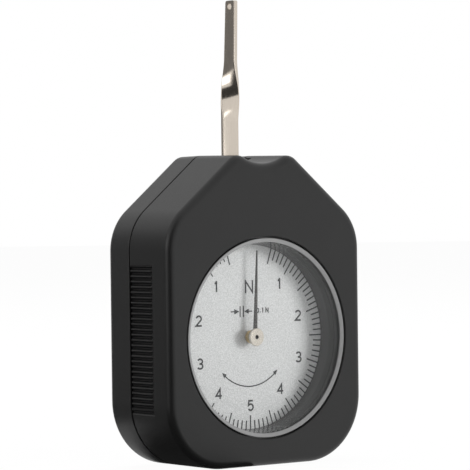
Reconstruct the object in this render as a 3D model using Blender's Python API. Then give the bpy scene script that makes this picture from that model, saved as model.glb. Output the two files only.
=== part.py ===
"""A dial tension gauge: a swinging measuring lever turns a pointer over a round dial, in a two-part case.

It is in metres, +Z up. The dial faces -Y and +X is to its right. The origin lies under the middle of the
case, on the flat that it stands on. It runs with blender --background --python part.py.
"""

import math

import bmesh
import bpy
from mathutils import Matrix, Vector

# Case: the two black mouldings, which meet at a parting line round the sides
CASE_WIDTH = 0.06016
CASE_HEIGHT = 0.0759
CASE_DEPTH = 0.025
PARTING_GAP = 0.00035
DRAFT = math.radians(0.9)
CORNER_RADIUS = 0.0164
SHOULDER_RISE = 0.0276
SHOULDER_RADIUS = 0.0129
TOP_HALF_WIDTH = 0.00915
CREST_RADIUS = 0.004
SCOOP_DEPTH = 0.0019
EDGE_ROUND = 0.0018
CASE_WALL = 0.0020
FRONT_WALL = 0.0022
COVER_WALL = 0.0030
COVER_BACK = 0.0020
TONGUE_LENGTH = 0.0015
TONGUE_GAP = 0.00015

# Lever slot, at the bottom of the scoop
SLOT_HALF_LENGTH = 0.0057
SLOT_FRONT_GAP = 0.0009
TONGUE_RELIEF = 0.0015

# Grip ribs on the sides of the front case
RIB_COUNT = 28
RIB_PITCH = 0.00128
RIB_DEPTH = 0.0005
RIB_FLAT = 0.0003
RIB_ROOT_SHARE = 0.55
RIB_LOW_HEIGHT = 0.0141
RIB_LENGTH = 0.0090

# Window
RIM_WIDTH = 0.00528
WINDOW_BASE_MARGIN = 0.0064
RING_GAP = 0.0005
RING_WIDTH = 0.0010
RING_HEIGHT = 0.0009
RING_SLOPE = 0.0005
RING_RECESS = 0.0001
LENS_THICKNESS = 0.0015
LENS_CHAMFER = 0.0002
WELL_WALL = 0.0015

# Dial
DIAL_DEPTH = 0.00735
DIAL_THICKNESS = 0.0008
DIAL_OVERLAP = 0.0021
DIAL_BORE_RADIUS = 0.0010
DIAL_FOOT_RADIUS = 0.0006
DIAL_FOOT_LENGTH = 0.0013
DIAL_FOOT_SPACING = 0.0180

# Movement plates and the pillars between them
PLATE_THICKNESS = 0.0015
COVER_CLEARANCE = 0.0004
PLATE_HALF_WIDTH = 0.0145
PLATE_BASE_MARGIN = 0.0020
PLATE_TOP_MARGIN = 0.0064
PLATE_TOP_HALF_WIDTH = 0.0130
REAR_PLATE_HALF_WIDTH = 0.0135
REAR_PLATE_INSET = 0.0043
REAR_PLATE_CORNER = 0.0028
EAR_REACH = 0.0026
EAR_CORNER_SHARE = 0.4
LOW_EAR_TURN = math.radians(-56)
HIGH_EAR_TURN = math.radians(60)
PILLAR_RADIUS = 0.0018
PILLAR_SPIGOT_RADIUS = 0.0010
PILLAR_BORE_DEPTH = 0.0032
LOW_PILLAR_SPREAD = 0.0110
LOW_PILLAR_HEIGHT = 0.0120
HIGH_PILLAR_SPREAD = 0.0105
HIGH_PILLAR_DROP = 0.0070

# Bosses for the movement, and posts for the cover's screws
BOSS_RADIUS = 0.0024
POST_RADIUS = 0.0026
COVER_POST_RADIUS = 0.0031
POST_MARGIN = 0.0007
LOW_POST_TURN = math.radians(-39)
HIGH_POST_TURN = math.radians(42)
COVER_SCREW_BITE = 0.0065
HOLE_SPARE = 0.0015

# Screws: the radius and height of the head, the shank's radius and its length
PLATE_SCREW = (0.0016, 0.0010, 0.0008, 0.0040)
CASE_SCREW = (0.0018, 0.0010, 0.0010, 0.0052)
BLOCK_SCREW = (0.0009, 0.0005, 0.0005, 0.0024)
COVER_SCREW_HEAD_RADIUS = 0.0020
COVER_SCREW_HEAD = 0.0013
COVER_SCREW_RADIUS = 0.0011
SLOT_WIDTH = 0.0005
SLOT_DEPTH = 0.0004
HEAD_EDGE = 0.0002
COUNTERBORE_RADIUS = 0.0022
COUNTERBORE_DEPTH = 0.0016

# Measuring lever: a flat strip with a quarter twist, whose tip has a small hole
PIVOT_DROP = 0.0139
LEVER_RIM_GAP = 0.00085
LEVER_RISE = 0.0383
LEVER_WIDTH = 0.00486
LEVER_THICKNESS = 0.0010
LEVER_EDGE = 0.0002
LEVER_LEAN = math.radians(2.4)
TWIST_START_RISE = 0.0085
TWIST_END_RISE = 0.0242
TIP_BASE_WIDTH = 0.0040
TIP_WIDTH = 0.0036
TIP_THICKNESS = 0.0012
TIP_CORNER = 0.0005
TIP_HOLE_RADIUS = 0.0008
TIP_HOLE_DROP = 0.0015
SWING = math.radians(12)

# Lever arbor, its hub and the rivets that hold lever and gear to the hub
ARBOR_RADIUS = 0.0020
ARBOR_JOURNAL_RADIUS = 0.0015
ARBOR_TAIL_RADIUS = 0.0012
HUB_SLEEVE_RADIUS = 0.0029
HUB_FLANGE_RADIUS = 0.0050
HUB_FLANGE_SHARE = 0.207
RIVET_SPREAD = 0.00395
RIVET_RADIUS = 0.0005
RIVET_HEAD_RADIUS = 0.00085
RIVET_HEAD = 0.0003

# Sector gear and pinion
NOMINAL_MODULE = 0.00032083
PINION_TEETH = 12
SECTOR_HALF_ANGLE = math.radians(15)
PRESSURE_ANGLE = math.radians(25)
BACKLASH = 0.00008
ADDENDUM_SHARE = 0.90
DEDENDUM_SHARE = 1.20
SECTOR_THICKNESS = 0.0008
SECTOR_RIM = 0.0026
SECTOR_SPOKE = 0.0024
SECTOR_PLATE_SHARE = 0.1264
PINION_OVERHANG = 0.0007

# Stop pins, which end the swing
STOP_RADIUS = 0.0007
STOP_CLEARANCE = 0.00015
STOP_LENGTH = 0.0032
STOP_REACH_SHARE = 0.8

# Bushes in the plates
BUSH_WALL = 0.0010
BUSH_FLANGE_WIDTH = 0.0004
BUSH_FLANGE = 0.0003

# Pointer: its arbor, hub and needle
POINTER_ARBOR_RADIUS = 0.0009
POINTER_JOURNAL_RADIUS = 0.0006
POINTER_SPIGOT_RADIUS = 0.00042
POINTER_TOP_DEPTH = 0.0043
HUB_DISC_RADIUS = 0.0022
HUB_DISC_THICKNESS = 0.0005
HUB_DISC_EDGE = 0.00012
HUB_BOSS_RADIUS = 0.0016
HUB_BORE_RADIUS = 0.0005
HUB_DIAL_GAP = 0.0004
SPIGOT_RECESS = 0.0009
NEEDLE_TIP_GAP = 0.0020
NEEDLE_THICKNESS = 0.00025
NEEDLE_BASE_WIDTH = 0.0012
NEEDLE_TIP_WIDTH = 0.0003
NEEDLE_EYE_RADIUS = 0.00205

# Hairspring: takes up the slack between the gears
HAIRSPRING_TURNS = 5
HAIRSPRING_WIDTH = 0.0008
HAIRSPRING_THICKNESS = 0.00025
HAIRSPRING_OUTER_RADIUS = 0.0065
COLLET_RADIUS = 0.0017
COLLET_LENGTH = 0.0012
STUD_RADIUS = 0.0007

# Measuring spring: the leaf that resists the lever, with its clamp and its fork
LEAF_THICKNESS = 0.0007
LEAF_WIDTH = 0.0022
LEAF_TOP_DROP = 0.0032
LEAF_BOTTOM_HEIGHT = 0.0260
LEAF_HOLE_RADIUS = 0.0007
CLAMP_RADIUS = 0.0026
CLAMP_HALF_WIDTH = 0.0022
CLAMP_LENGTH = 0.0068
CLAMP_SCREW_RADIUS = 0.0005
CLAMP_SCREW_HEAD_RADIUS = 0.0009
CLAMP_SCREW_HEAD = 0.0006
CLAMP_SCREW_DROP = 0.0050
FORK_HALF_WIDTH = 0.0018
FORK_FOOT_HALF_WIDTH = 0.0046
FORK_FOOT_THICKNESS = 0.0011
FORK_FOOT_HEIGHT = 0.0040
FORK_HEIGHT = 0.0065
FORK_FLOOR = 0.0018
FORK_SCREW_SPREAD = 0.0032

# Clearances
SEAT_GAP = 0.00015
FIT_GAP = 0.00010
RUN_GAP = 0.00006
OVERRUN = 0.001
LEAST_RADIUS = 0.0001
MERGE_DISTANCE = 0.0000001

# How finely the round shapes are divided
CORNER_STEPS = 9
SHOULDER_STEPS = 5
CREST_STEPS = 5
SCOOP_STEPS = 4
EDGE_STEPS = 4
WINDOW_SEGMENTS = 72
DISC_SEGMENTS = 24
SMALL_SEGMENTS = 12
TWIST_STEPS = 12
FLANK_STEPS = 2
HAIRSPRING_STEPS = 14
SMOOTH_ANGLE = math.radians(35)
QUARTER = math.pi / 2
FULL = 2 * math.pi

# Looks: colour, roughness and metallic value
BLACK_PLASTIC = ("black_plastic", (0.030, 0.030, 0.031), 0.55, 0.0)
GREY_RING = ("grey_ring", (0.45, 0.45, 0.45), 0.45, 0.0)
CLEAR_LENS = ("clear_lens", (0.90, 0.92, 0.92), 0.05, 0.0)
DIAL_SILVER = ("dial_silver", (0.60, 0.60, 0.60), 0.50, 0.3)
NEEDLE_BLACK = ("needle_black", (0.030, 0.028, 0.026), 0.45, 0.0)
NICKEL = ("nickel", (0.62, 0.57, 0.52), 0.25, 1.0)
BRASS = ("brass", (0.60, 0.42, 0.18), 0.35, 1.0)
STEEL = ("steel", (0.50, 0.50, 0.51), 0.30, 1.0)
SPRING_STEEL = ("spring_steel", (0.28, 0.30, 0.36), 0.30, 1.0)
BLACK_SCREW = ("black_screw", (0.045, 0.045, 0.048), 0.40, 1.0)

# Planes across the depth, from the front to the rear
FRONT_Y = -CASE_DEPTH / 2
REAR_Y = CASE_DEPTH / 2
LENS_FRONT_Y = FRONT_Y + RING_RECESS + RING_HEIGHT + SEAT_GAP
LEDGE_Y = LENS_FRONT_Y + LENS_THICKNESS + SEAT_GAP
DIAL_Y = FRONT_Y + DIAL_DEPTH
WELL_END_Y = DIAL_Y - SEAT_GAP
FRONT_PLATE_Y = DIAL_Y + DIAL_THICKNESS + SEAT_GAP
FRONT_PLATE_BACK_Y = FRONT_PLATE_Y + PLATE_THICKNESS
COVER_INNER_Y = REAR_Y - COVER_BACK
LEAF_Y = COVER_INNER_Y - COVER_CLEARANCE - LEAF_WIDTH
REAR_PLATE_BACK_Y = LEAF_Y - SEAT_GAP - SEAT_GAP - FIT_GAP
REAR_PLATE_Y = REAR_PLATE_BACK_Y - PLATE_THICKNESS
PLATE_SPACING = REAR_PLATE_Y - FRONT_PLATE_BACK_Y
FRONT_SHOULDER_Y = FRONT_PLATE_BACK_Y + FIT_GAP + BUSH_FLANGE + FIT_GAP
REAR_SHOULDER_Y = REAR_PLATE_Y - FIT_GAP - BUSH_FLANGE - FIT_GAP
SECTOR_FRONT_Y = FRONT_PLATE_BACK_Y + PLATE_SPACING * SECTOR_PLATE_SHARE
SECTOR_BACK_Y = SECTOR_FRONT_Y + SECTOR_THICKNESS
PINION_BACK_Y = SECTOR_BACK_Y + PINION_OVERHANG
HUB_FLANGE_FRONT_Y = SECTOR_BACK_Y + FIT_GAP
HUB_FLANGE_BACK_Y = HUB_FLANGE_FRONT_Y + PLATE_SPACING * HUB_FLANGE_SHARE
LEVER_FRONT_Y = HUB_FLANGE_BACK_Y + FIT_GAP
LEVER_BACK_Y = LEVER_FRONT_Y + LEVER_THICKNESS
LEVER_Y = (LEVER_FRONT_Y + LEVER_BACK_Y) / 2
SLOT_FRONT_Y = LEVER_FRONT_Y - SLOT_FRONT_GAP
RIM_Y = LEVER_BACK_Y + LEVER_RIM_GAP
PARTING_Y = RIM_Y + PARTING_GAP
HAIRSPRING_Y = (SECTOR_BACK_Y + REAR_PLATE_Y - HAIRSPRING_WIDTH) / 2
COVER_SEAT_Y = REAR_Y - COUNTERBORE_DEPTH
COVER_SCREW_LENGTH = COVER_SEAT_Y - RIM_Y + COVER_SCREW_BITE
COVER_SCREW = (COVER_SCREW_HEAD_RADIUS, COVER_SCREW_HEAD, COVER_SCREW_RADIUS, COVER_SCREW_LENGTH)
POINTER_TOP_Y = FRONT_Y + POINTER_TOP_DEPTH

# Heights and radii that follow from the sizes above
HALF_WIDTH = CASE_WIDTH / 2
WINDOW_RADIUS = HALF_WIDTH - RIM_WIDTH
WINDOW_HEIGHT = WINDOW_BASE_MARGIN + WINDOW_RADIUS
RING_RADIUS = WINDOW_RADIUS - RING_GAP
WELL_RADIUS = RING_RADIUS - RING_WIDTH
TUBE_RADIUS = WINDOW_RADIUS + WELL_WALL
DIAL_RADIUS = WELL_RADIUS + DIAL_OVERLAP
NEEDLE_LENGTH = WELL_RADIUS - NEEDLE_TIP_GAP
PIVOT_HEIGHT = CASE_HEIGHT - PIVOT_DROP
LEVER_TOP = CASE_HEIGHT + LEVER_RISE
CENTRE_DISTANCE = PIVOT_HEIGHT - WINDOW_HEIGHT
SECTOR_TEETH = round(2 * CENTRE_DISTANCE / NOMINAL_MODULE) - PINION_TEETH
SECTOR_CUT_TEETH = 2 * int(SECTOR_HALF_ANGLE * SECTOR_TEETH / (2 * math.pi)) + 1
GEAR_MODULE = 2 * CENTRE_DISTANCE / (SECTOR_TEETH + PINION_TEETH)
SHOULDER_DROP = CASE_HEIGHT - WINDOW_HEIGHT - SHOULDER_RISE
SHOULDER_TURN = math.atan2(HALF_WIDTH - TOP_HALF_WIDTH, SHOULDER_DROP)
SHOULDER_NORMAL = (math.cos(SHOULDER_TURN), math.sin(SHOULDER_TURN))
SHOULDER_REACH = SHOULDER_NORMAL[0] * TOP_HALF_WIDTH + SHOULDER_NORMAL[1] * CASE_HEIGHT
CREST_X = TOP_HALF_WIDTH - CREST_RADIUS * (1 - SHOULDER_NORMAL[1]) / SHOULDER_NORMAL[0]
CREST_RISE = CREST_RADIUS - SCOOP_DEPTH
SCOOP_RADIUS = (CREST_X**2 + CREST_RISE**2 - CREST_RADIUS**2) / (2 * SCOOP_DEPTH)
SCOOP_CENTRE = (0, CASE_HEIGHT - SCOOP_DEPTH + SCOOP_RADIUS)


def mirrored(places):
    """Each (x, z) place with its mirror image, the right one first."""
    return [(side * x, z) for x, z in places for side in (1, -1)]


def round_the_tube(turns):
    """Places on both sides, as close round the window's tube as a post fits."""
    reach = TUBE_RADIUS + POST_MARGIN + POST_RADIUS
    return mirrored([(reach * math.cos(t), WINDOW_HEIGHT + reach * math.sin(t)) for t in turns])


def post_places():
    """Centres of the four posts for the cover's screws."""
    return round_the_tube((LOW_POST_TURN, HIGH_POST_TURN))


def ear_places():
    """Centres of the four screws that hold the movement in the case."""
    return round_the_tube((LOW_EAR_TURN, HIGH_EAR_TURN))


def pillar_places():
    """Centres of the four pillars between the plates."""
    high = (HIGH_PILLAR_SPREAD, PIVOT_HEIGHT - HIGH_PILLAR_DROP)
    return mirrored([(LOW_PILLAR_SPREAD, LOW_PILLAR_HEIGHT), high])


def clear_scene():
    for old in list(bpy.data.objects):
        bpy.data.objects.remove(old)


def material(look):
    name, colour, roughness, metallic = look
    found = bpy.data.materials.get(name)
    if found:
        return found
    made = bpy.data.materials.new(name)
    made.use_nodes = True
    shader = made.node_tree.nodes["Principled BSDF"]
    shader.inputs["Base Color"].default_value = (*colour, 1.0)
    shader.inputs["Roughness"].default_value = roughness
    shader.inputs["Metallic"].default_value = metallic
    return made


def finished(name, bm, look, place=(0, 0, 0)):
    """Turns the bmesh into a named object with its origin at the place."""
    bmesh.ops.recalc_face_normals(bm, faces=bm.faces)
    mesh = bpy.data.meshes.new(name)
    bm.to_mesh(mesh)
    bm.free()
    mesh.materials.append(material(look))
    mesh.shade_smooth()
    mesh.set_sharp_from_angle(angle=SMOOTH_ANGLE)
    made = bpy.data.objects.new(name, mesh)
    made.location = place
    bpy.context.scene.collection.objects.link(made)
    return made


def another(original, name, place):
    """A second object on the same mesh, at its own place."""
    made = bpy.data.objects.new(name, original.data)
    made.location = place
    bpy.context.scene.collection.objects.link(made)
    return made


def loft(name, rings, look, place=(0, 0, 0)):
    """A closed mesh through rings of equally many points, with both ends filled."""
    bm = bmesh.new()
    loops = [[bm.verts.new(point) for point in ring] for ring in rings]
    for first, second in zip(loops, loops[1:]):
        for i in range(len(first)):
            bm.faces.new((first[i - 1], first[i], second[i], second[i - 1]))
    bm.faces.new(loops[0])
    bm.faces.new(loops[-1])
    return finished(name, bm, look, place)


def at_depth(outline, y):
    """The (x, z) outline as points in the plane at the depth y."""
    return [(x, y, z) for x, z in outline]


def slab(name, outline, front, back, look, place=(0, 0, 0)):
    """The (x, z) outline extruded along Y."""
    return loft(name, [at_depth(outline, front), at_depth(outline, back)], look, place)


def turned(name, profile, look, place=(0, 0, 0), segments=DISC_SEGMENTS, hollow=False):
    """The (radius, y) profile spun about the line along Y through the object's origin."""
    bm = bmesh.new()
    points = [bm.verts.new((radius, y, 0)) for radius, y in profile]
    ends = points[1:] + points[:1] if hollow else points[1:]
    edges = [bm.edges.new(pair) for pair in zip(points, ends)]
    bmesh.ops.spin(
        bm, geom=points + edges, cent=(0, 0, 0), axis=(0, 1, 0), angle=FULL, steps=segments, use_merge=True
    )
    bmesh.ops.remove_doubles(bm, verts=bm.verts, dist=MERGE_DISTANCE)
    return finished(name, bm, look, place)


def cylinders(places, radius, front, back, segments=SMALL_SEGMENTS):
    """Cylinders along Y at the (x, z) places, as one cutter or addition."""
    bm = bmesh.new()
    for x, z in places:
        centre = Matrix.Translation((x, (front + back) / 2, z))
        bmesh.ops.create_cone(
            bm,
            cap_ends=True,
            segments=segments,
            radius1=radius,
            radius2=radius,
            depth=back - front,
            matrix=centre @ Matrix.Rotation(QUARTER, 4, "X"),
        )
    return finished("cylinders", bm, STEEL)


def cross_cylinder(radius, length, y, z, segments=SMALL_SEGMENTS):
    """A cylinder along X, centred on the middle plane."""
    bm = bmesh.new()
    bmesh.ops.create_cone(
        bm,
        cap_ends=True,
        segments=segments,
        radius1=radius,
        radius2=radius,
        depth=length,
        matrix=Matrix.Translation((0, y, z)) @ Matrix.Rotation(QUARTER, 4, "Y"),
    )
    return finished("cross_cylinder", bm, STEEL)


def block(low, high):
    """A box between two corners, as a cutter or an addition."""
    size = Vector(high) - Vector(low)
    middle = (Vector(high) + Vector(low)) / 2
    bm = bmesh.new()
    bmesh.ops.create_cube(bm, size=1, matrix=Matrix.Translation(middle) @ Matrix.Diagonal((*size, 1)))
    return finished("block", bm, STEEL)


def combine(target, tool, operation):
    """Applies one exact Boolean of the tool to the target, and removes the tool."""
    modifier = target.modifiers.new(operation.lower(), "BOOLEAN")
    modifier.operation = operation
    modifier.solver = "EXACT"
    modifier.object = tool
    graph = bpy.context.evaluated_depsgraph_get()
    mesh = bpy.data.meshes.new_from_object(target.evaluated_get(graph))
    target.modifiers.clear()
    plain = target.data
    name = plain.name
    target.data = mesh
    bpy.data.meshes.remove(plain)
    mesh.name = name
    mesh.shade_smooth()
    mesh.set_sharp_from_angle(angle=SMOOTH_ANGLE)
    bpy.data.objects.remove(tool)


def cut(target, tool):
    combine(target, tool, "DIFFERENCE")


def join(target, tool):
    combine(target, tool, "UNION")


def drill(target, places, radius, front, back, segments=SMALL_SEGMENTS):
    """Holes along Y through the target at the (x, z) places."""
    cut(target, cylinders(places, radius, front, back, segments))


def arc(centre, radius, start, end, steps):
    """Points along an arc in the XZ plane, with both its ends."""
    turns = [start + (end - start) * i / steps for i in range(steps + 1)]
    return [(centre[0] + radius * math.cos(t), centre[1] + radius * math.sin(t)) for t in turns]


def inner_radius(radius, inset):
    """The radius of a corner once its walls have moved in, limited where the wall takes it all."""
    return max(radius - inset, LEAST_RADIUS)


def case_outline(inset, draft=0.0):
    """The case's outline, drawn in by inset: round lower corners, slanted shoulders and the scoop on top.

    The draft draws in all of it once more but its flat base.
    """
    whole = inset + draft
    corner = inner_radius(CORNER_RADIUS, whole)
    shoulder = inner_radius(SHOULDER_RADIUS, whole)
    crest = inner_radius(CREST_RADIUS, whole)
    side, top = HALF_WIDTH - whole, CASE_HEIGHT - whole
    nx, nz = SHOULDER_NORMAL
    reach = SHOULDER_REACH - whole
    shoulder_x = side - shoulder
    shoulder_z = (reach - shoulder - nx * shoulder_x) / nz
    crest_z = top - crest
    crest_x = (reach - crest - nz * crest_z) / nx
    to_crest = math.atan2(crest_z - SCOOP_CENTRE[1], crest_x)
    right = arc((side - corner, inset + corner), corner, -QUARTER, 0, CORNER_STEPS)
    right += arc((shoulder_x, shoulder_z), shoulder, 0, SHOULDER_TURN, SHOULDER_STEPS)
    right += arc((crest_x, crest_z), crest, SHOULDER_TURN, to_crest + math.pi, CREST_STEPS)
    right += arc(SCOOP_CENTRE, SCOOP_RADIUS + whole, to_crest, -QUARTER, SCOOP_STEPS)[1:]
    return right + [(-x, z) for x, z in reversed(right[:-1])]


def drawn_in(distance):
    """How far the mouldings' draft has drawn in the sides at a distance from the parting line."""
    return distance * math.tan(DRAFT)


def rounded_levels(flat, face):
    """The case's outlines from the flat plane to the outer face, with the rounded edge between them."""
    outward = math.copysign(1, face - flat)
    start = face - outward * EDGE_ROUND
    levels = [at_depth(case_outline(0), flat)]
    for turn in [QUARTER * i / EDGE_STEPS for i in range(EDGE_STEPS + 1)]:
        inset = EDGE_ROUND * (1 - math.cos(turn))
        y = start + outward * EDGE_ROUND * math.sin(turn)
        levels.append(at_depth(case_outline(inset, drawn_in(abs(y - flat))), y))
    return levels


def rib_grooves(side):
    """The comb of grooves that leaves the grip ribs on one side, open to the parting line."""
    half = (RIB_PITCH - RIB_FLAT) / 2
    root_half = half * RIB_ROOT_SHARE
    flared = RIB_PITCH / 2
    edge = RIB_DEPTH * (flared - half) / (half - root_half)
    profile = [(OVERRUN, RIB_LOW_HEIGHT - flared)]
    for i in range(RIB_COUNT):
        z = RIB_LOW_HEIGHT + RIB_PITCH * i
        profile += [(edge, z - flared), (-RIB_DEPTH, z - root_half), (-RIB_DEPTH, z + root_half)]
    top = RIB_LOW_HEIGHT + RIB_PITCH * (RIB_COUNT - 1) + flared
    profile += [(edge, top), (OVERRUN, top)]
    rings = []
    for y in (RIM_Y - RIB_LENGTH, RIM_Y + OVERRUN):
        surface = HALF_WIDTH - drawn_in(RIM_Y - y)
        rings.append([(side * (surface + out), y, z) for out, z in profile])
    return loft("rib_grooves", rings, STEEL)


def front_case():
    made = loft("front_case", rounded_levels(RIM_Y, FRONT_Y), BLACK_PLASTIC)
    inner = case_outline(CASE_WALL)
    cut(made, slab("hollow", inner, FRONT_Y + FRONT_WALL, RIM_Y + OVERRUN, STEEL))
    wall_middle = FRONT_Y + FRONT_WALL / 2
    join(made, cylinders([(0, WINDOW_HEIGHT)], TUBE_RADIUS, wall_middle, WELL_END_Y, WINDOW_SEGMENTS))
    join(made, cylinders(ear_places(), BOSS_RADIUS, wall_middle, FRONT_PLATE_Y - SEAT_GAP))
    join(made, cylinders(post_places(), POST_RADIUS, wall_middle, RIM_Y))
    bore = [
        (0, FRONT_Y - OVERRUN),
        (WINDOW_RADIUS, FRONT_Y - OVERRUN),
        (WINDOW_RADIUS, LEDGE_Y),
        (WELL_RADIUS, LEDGE_Y),
        (WELL_RADIUS, WELL_END_Y + OVERRUN),
        (0, WELL_END_Y + OVERRUN),
    ]
    cut(made, turned("bore", bore, STEEL, (0, 0, WINDOW_HEIGHT), WINDOW_SEGMENTS))
    boss_end = FRONT_PLATE_Y - SEAT_GAP
    shank = CASE_SCREW[2] + FIT_GAP
    drill(made, ear_places(), shank, boss_end - CASE_SCREW[3] + PLATE_THICKNESS, boss_end + OVERRUN)
    hole_end = RIM_Y - COVER_SCREW_BITE - HOLE_SPARE
    drill(made, post_places(), COVER_SCREW_RADIUS + FIT_GAP, hole_end, RIM_Y + OVERRUN)
    slot_low = (-SLOT_HALF_LENGTH, SLOT_FRONT_Y, PIVOT_HEIGHT + HUB_FLANGE_RADIUS)
    slot_high = (SLOT_HALF_LENGTH, RIM_Y + OVERRUN, CASE_HEIGHT + OVERRUN)
    cut(made, block(slot_low, slot_high))
    for side in (1, -1):
        cut(made, rib_grooves(side))
    return made


def rear_cover():
    made = loft("rear_cover", rounded_levels(PARTING_Y, REAR_Y), BLACK_PLASTIC)
    tongue = case_outline(CASE_WALL + TONGUE_GAP)
    join(made, slab("tongue", tongue, PARTING_Y - TONGUE_LENGTH, PARTING_Y + OVERRUN, STEEL))
    inner = case_outline(COVER_WALL)
    cut(made, slab("hollow", inner, PARTING_Y - TONGUE_LENGTH - OVERRUN, COVER_INNER_Y, STEEL))
    join(made, cylinders(post_places(), COVER_POST_RADIUS, PARTING_Y, REAR_Y - COVER_BACK / 2, DISC_SEGMENTS))
    drill(made, post_places(), COVER_SCREW_RADIUS + FIT_GAP, PARTING_Y - OVERRUN, REAR_Y + OVERRUN)
    drill(made, post_places(), COUNTERBORE_RADIUS, COVER_SEAT_Y, REAR_Y + OVERRUN, DISC_SEGMENTS)
    relief = SLOT_HALF_LENGTH + TONGUE_RELIEF
    low = (-relief, PARTING_Y - TONGUE_LENGTH - OVERRUN, PIVOT_HEIGHT + HUB_FLANGE_RADIUS)
    cut(made, block(low, (relief, PARTING_Y, CASE_HEIGHT + OVERRUN)))
    return made


def lens_ring():
    front = FRONT_Y + RING_RECESS
    back = front + RING_HEIGHT
    profile = [(WELL_RADIUS, front + RING_SLOPE), (RING_RADIUS, front), (RING_RADIUS, back), (WELL_RADIUS, back)]
    return turned("lens_ring", profile, GREY_RING, (0, 0, WINDOW_HEIGHT), WINDOW_SEGMENTS, hollow=True)


def window_lens():
    back = LENS_FRONT_Y + LENS_THICKNESS
    profile = [
        (0, LENS_FRONT_Y),
        (RING_RADIUS - LENS_CHAMFER, LENS_FRONT_Y),
        (RING_RADIUS, LENS_FRONT_Y + LENS_CHAMFER),
        (RING_RADIUS, back),
        (0, back),
    ]
    return turned("window_lens", profile, CLEAR_LENS, (0, 0, WINDOW_HEIGHT), WINDOW_SEGMENTS)


def dial_plate():
    back = DIAL_Y + DIAL_THICKNESS
    profile = [(DIAL_BORE_RADIUS, DIAL_Y), (DIAL_RADIUS, DIAL_Y), (DIAL_RADIUS, back), (DIAL_BORE_RADIUS, back)]
    made = turned("dial_plate", profile, DIAL_SILVER, (0, 0, WINDOW_HEIGHT), WINDOW_SEGMENTS, hollow=True)
    middle = DIAL_Y + DIAL_THICKNESS / 2
    join(made, cylinders(dial_feet(), DIAL_FOOT_RADIUS, middle, back + DIAL_FOOT_LENGTH))
    return made


def dial_feet():
    return mirrored([(DIAL_FOOT_SPACING / 2, WINDOW_HEIGHT)])


def stop_places():
    """Centres of the stop pins, just clear of the gear's straight side at the end of its swing."""
    hub, rim = sector_side()
    side = Vector(hub).lerp(Vector(rim), STOP_REACH_SHARE)
    along = (Vector(rim) - Vector(hub)).normalized()
    clear = side + Vector((-along.y, along.x)) * (STOP_RADIUS + STOP_CLEARANCE)
    x = clear.x * math.cos(SWING) - clear.y * math.sin(SWING)
    z = clear.x * math.sin(SWING) + clear.y * math.cos(SWING)
    return mirrored([(x, PIVOT_HEIGHT + z)])


def plate_holes(plate, front, back, pillar_radius):
    """The holes that both plates have: for pillars and for the bushes of both arbors."""
    low, high = front - OVERRUN, back + OVERRUN
    drill(plate, pillar_places(), pillar_radius + FIT_GAP, low, high)
    lever_bush = ARBOR_JOURNAL_RADIUS + RUN_GAP + BUSH_WALL + FIT_GAP
    drill(plate, [(0, PIVOT_HEIGHT)], lever_bush, low, high, DISC_SEGMENTS)
    pointer_bush = POINTER_JOURNAL_RADIUS + RUN_GAP + BUSH_WALL + FIT_GAP
    drill(plate, [(0, WINDOW_HEIGHT)], pointer_bush, low, high, DISC_SEGMENTS)


def front_plate():
    low_ear, high_ear = ear_places()[0], ear_places()[2]
    top = CASE_HEIGHT - PLATE_TOP_MARGIN
    corner = EAR_REACH * EAR_CORNER_SHARE
    right = [
        (low_ear[0] + EAR_REACH, PLATE_BASE_MARGIN + CASE_WALL),
        (low_ear[0] + EAR_REACH, low_ear[1] + EAR_REACH),
        (PLATE_HALF_WIDTH, low_ear[1] + EAR_REACH + EAR_REACH),
        (PLATE_HALF_WIDTH, high_ear[1] - EAR_REACH - EAR_REACH),
        (high_ear[0] + EAR_REACH, high_ear[1] - EAR_REACH / 2),
        (high_ear[0] + EAR_REACH, high_ear[1] + corner),
        (high_ear[0] + corner, high_ear[1] + EAR_REACH),
        (PLATE_TOP_HALF_WIDTH, top),
    ]
    outline = right + [(-x, z) for x, z in reversed(right)]
    made = slab("front_plate", outline, FRONT_PLATE_Y, FRONT_PLATE_BACK_Y, BRASS)
    plate_holes(made, FRONT_PLATE_Y, FRONT_PLATE_BACK_Y, PILLAR_SPIGOT_RADIUS)
    low, high = FRONT_PLATE_Y - OVERRUN, FRONT_PLATE_BACK_Y + OVERRUN
    drill(made, ear_places(), CASE_SCREW[2] + FIT_GAP, low, high)
    drill(made, dial_feet(), DIAL_FOOT_RADIUS + FIT_GAP, low, high)
    drill(made, stop_places(), STOP_RADIUS + FIT_GAP, low, high)
    return made


def rear_plate():
    base = PLATE_BASE_MARGIN + CASE_WALL + REAR_PLATE_INSET
    top = CASE_HEIGHT - PLATE_TOP_MARGIN
    right = [
        (REAR_PLATE_HALF_WIDTH, base),
        (REAR_PLATE_HALF_WIDTH, top - REAR_PLATE_CORNER),
        (REAR_PLATE_HALF_WIDTH - REAR_PLATE_CORNER, top),
    ]
    outline = right + [(-x, z) for x, z in reversed(right)]
    made = slab("rear_plate", outline, REAR_PLATE_Y, REAR_PLATE_BACK_Y, BRASS)
    plate_holes(made, REAR_PLATE_Y, REAR_PLATE_BACK_Y, PLATE_SCREW[2])
    low, high = REAR_PLATE_Y - OVERRUN, REAR_PLATE_BACK_Y + OVERRUN
    drill(made, [stud_place()], STUD_RADIUS + FIT_GAP, low, high)
    drill(made, fork_screw_places(), BLOCK_SCREW[2] + FIT_GAP, low, high)
    return made


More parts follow.
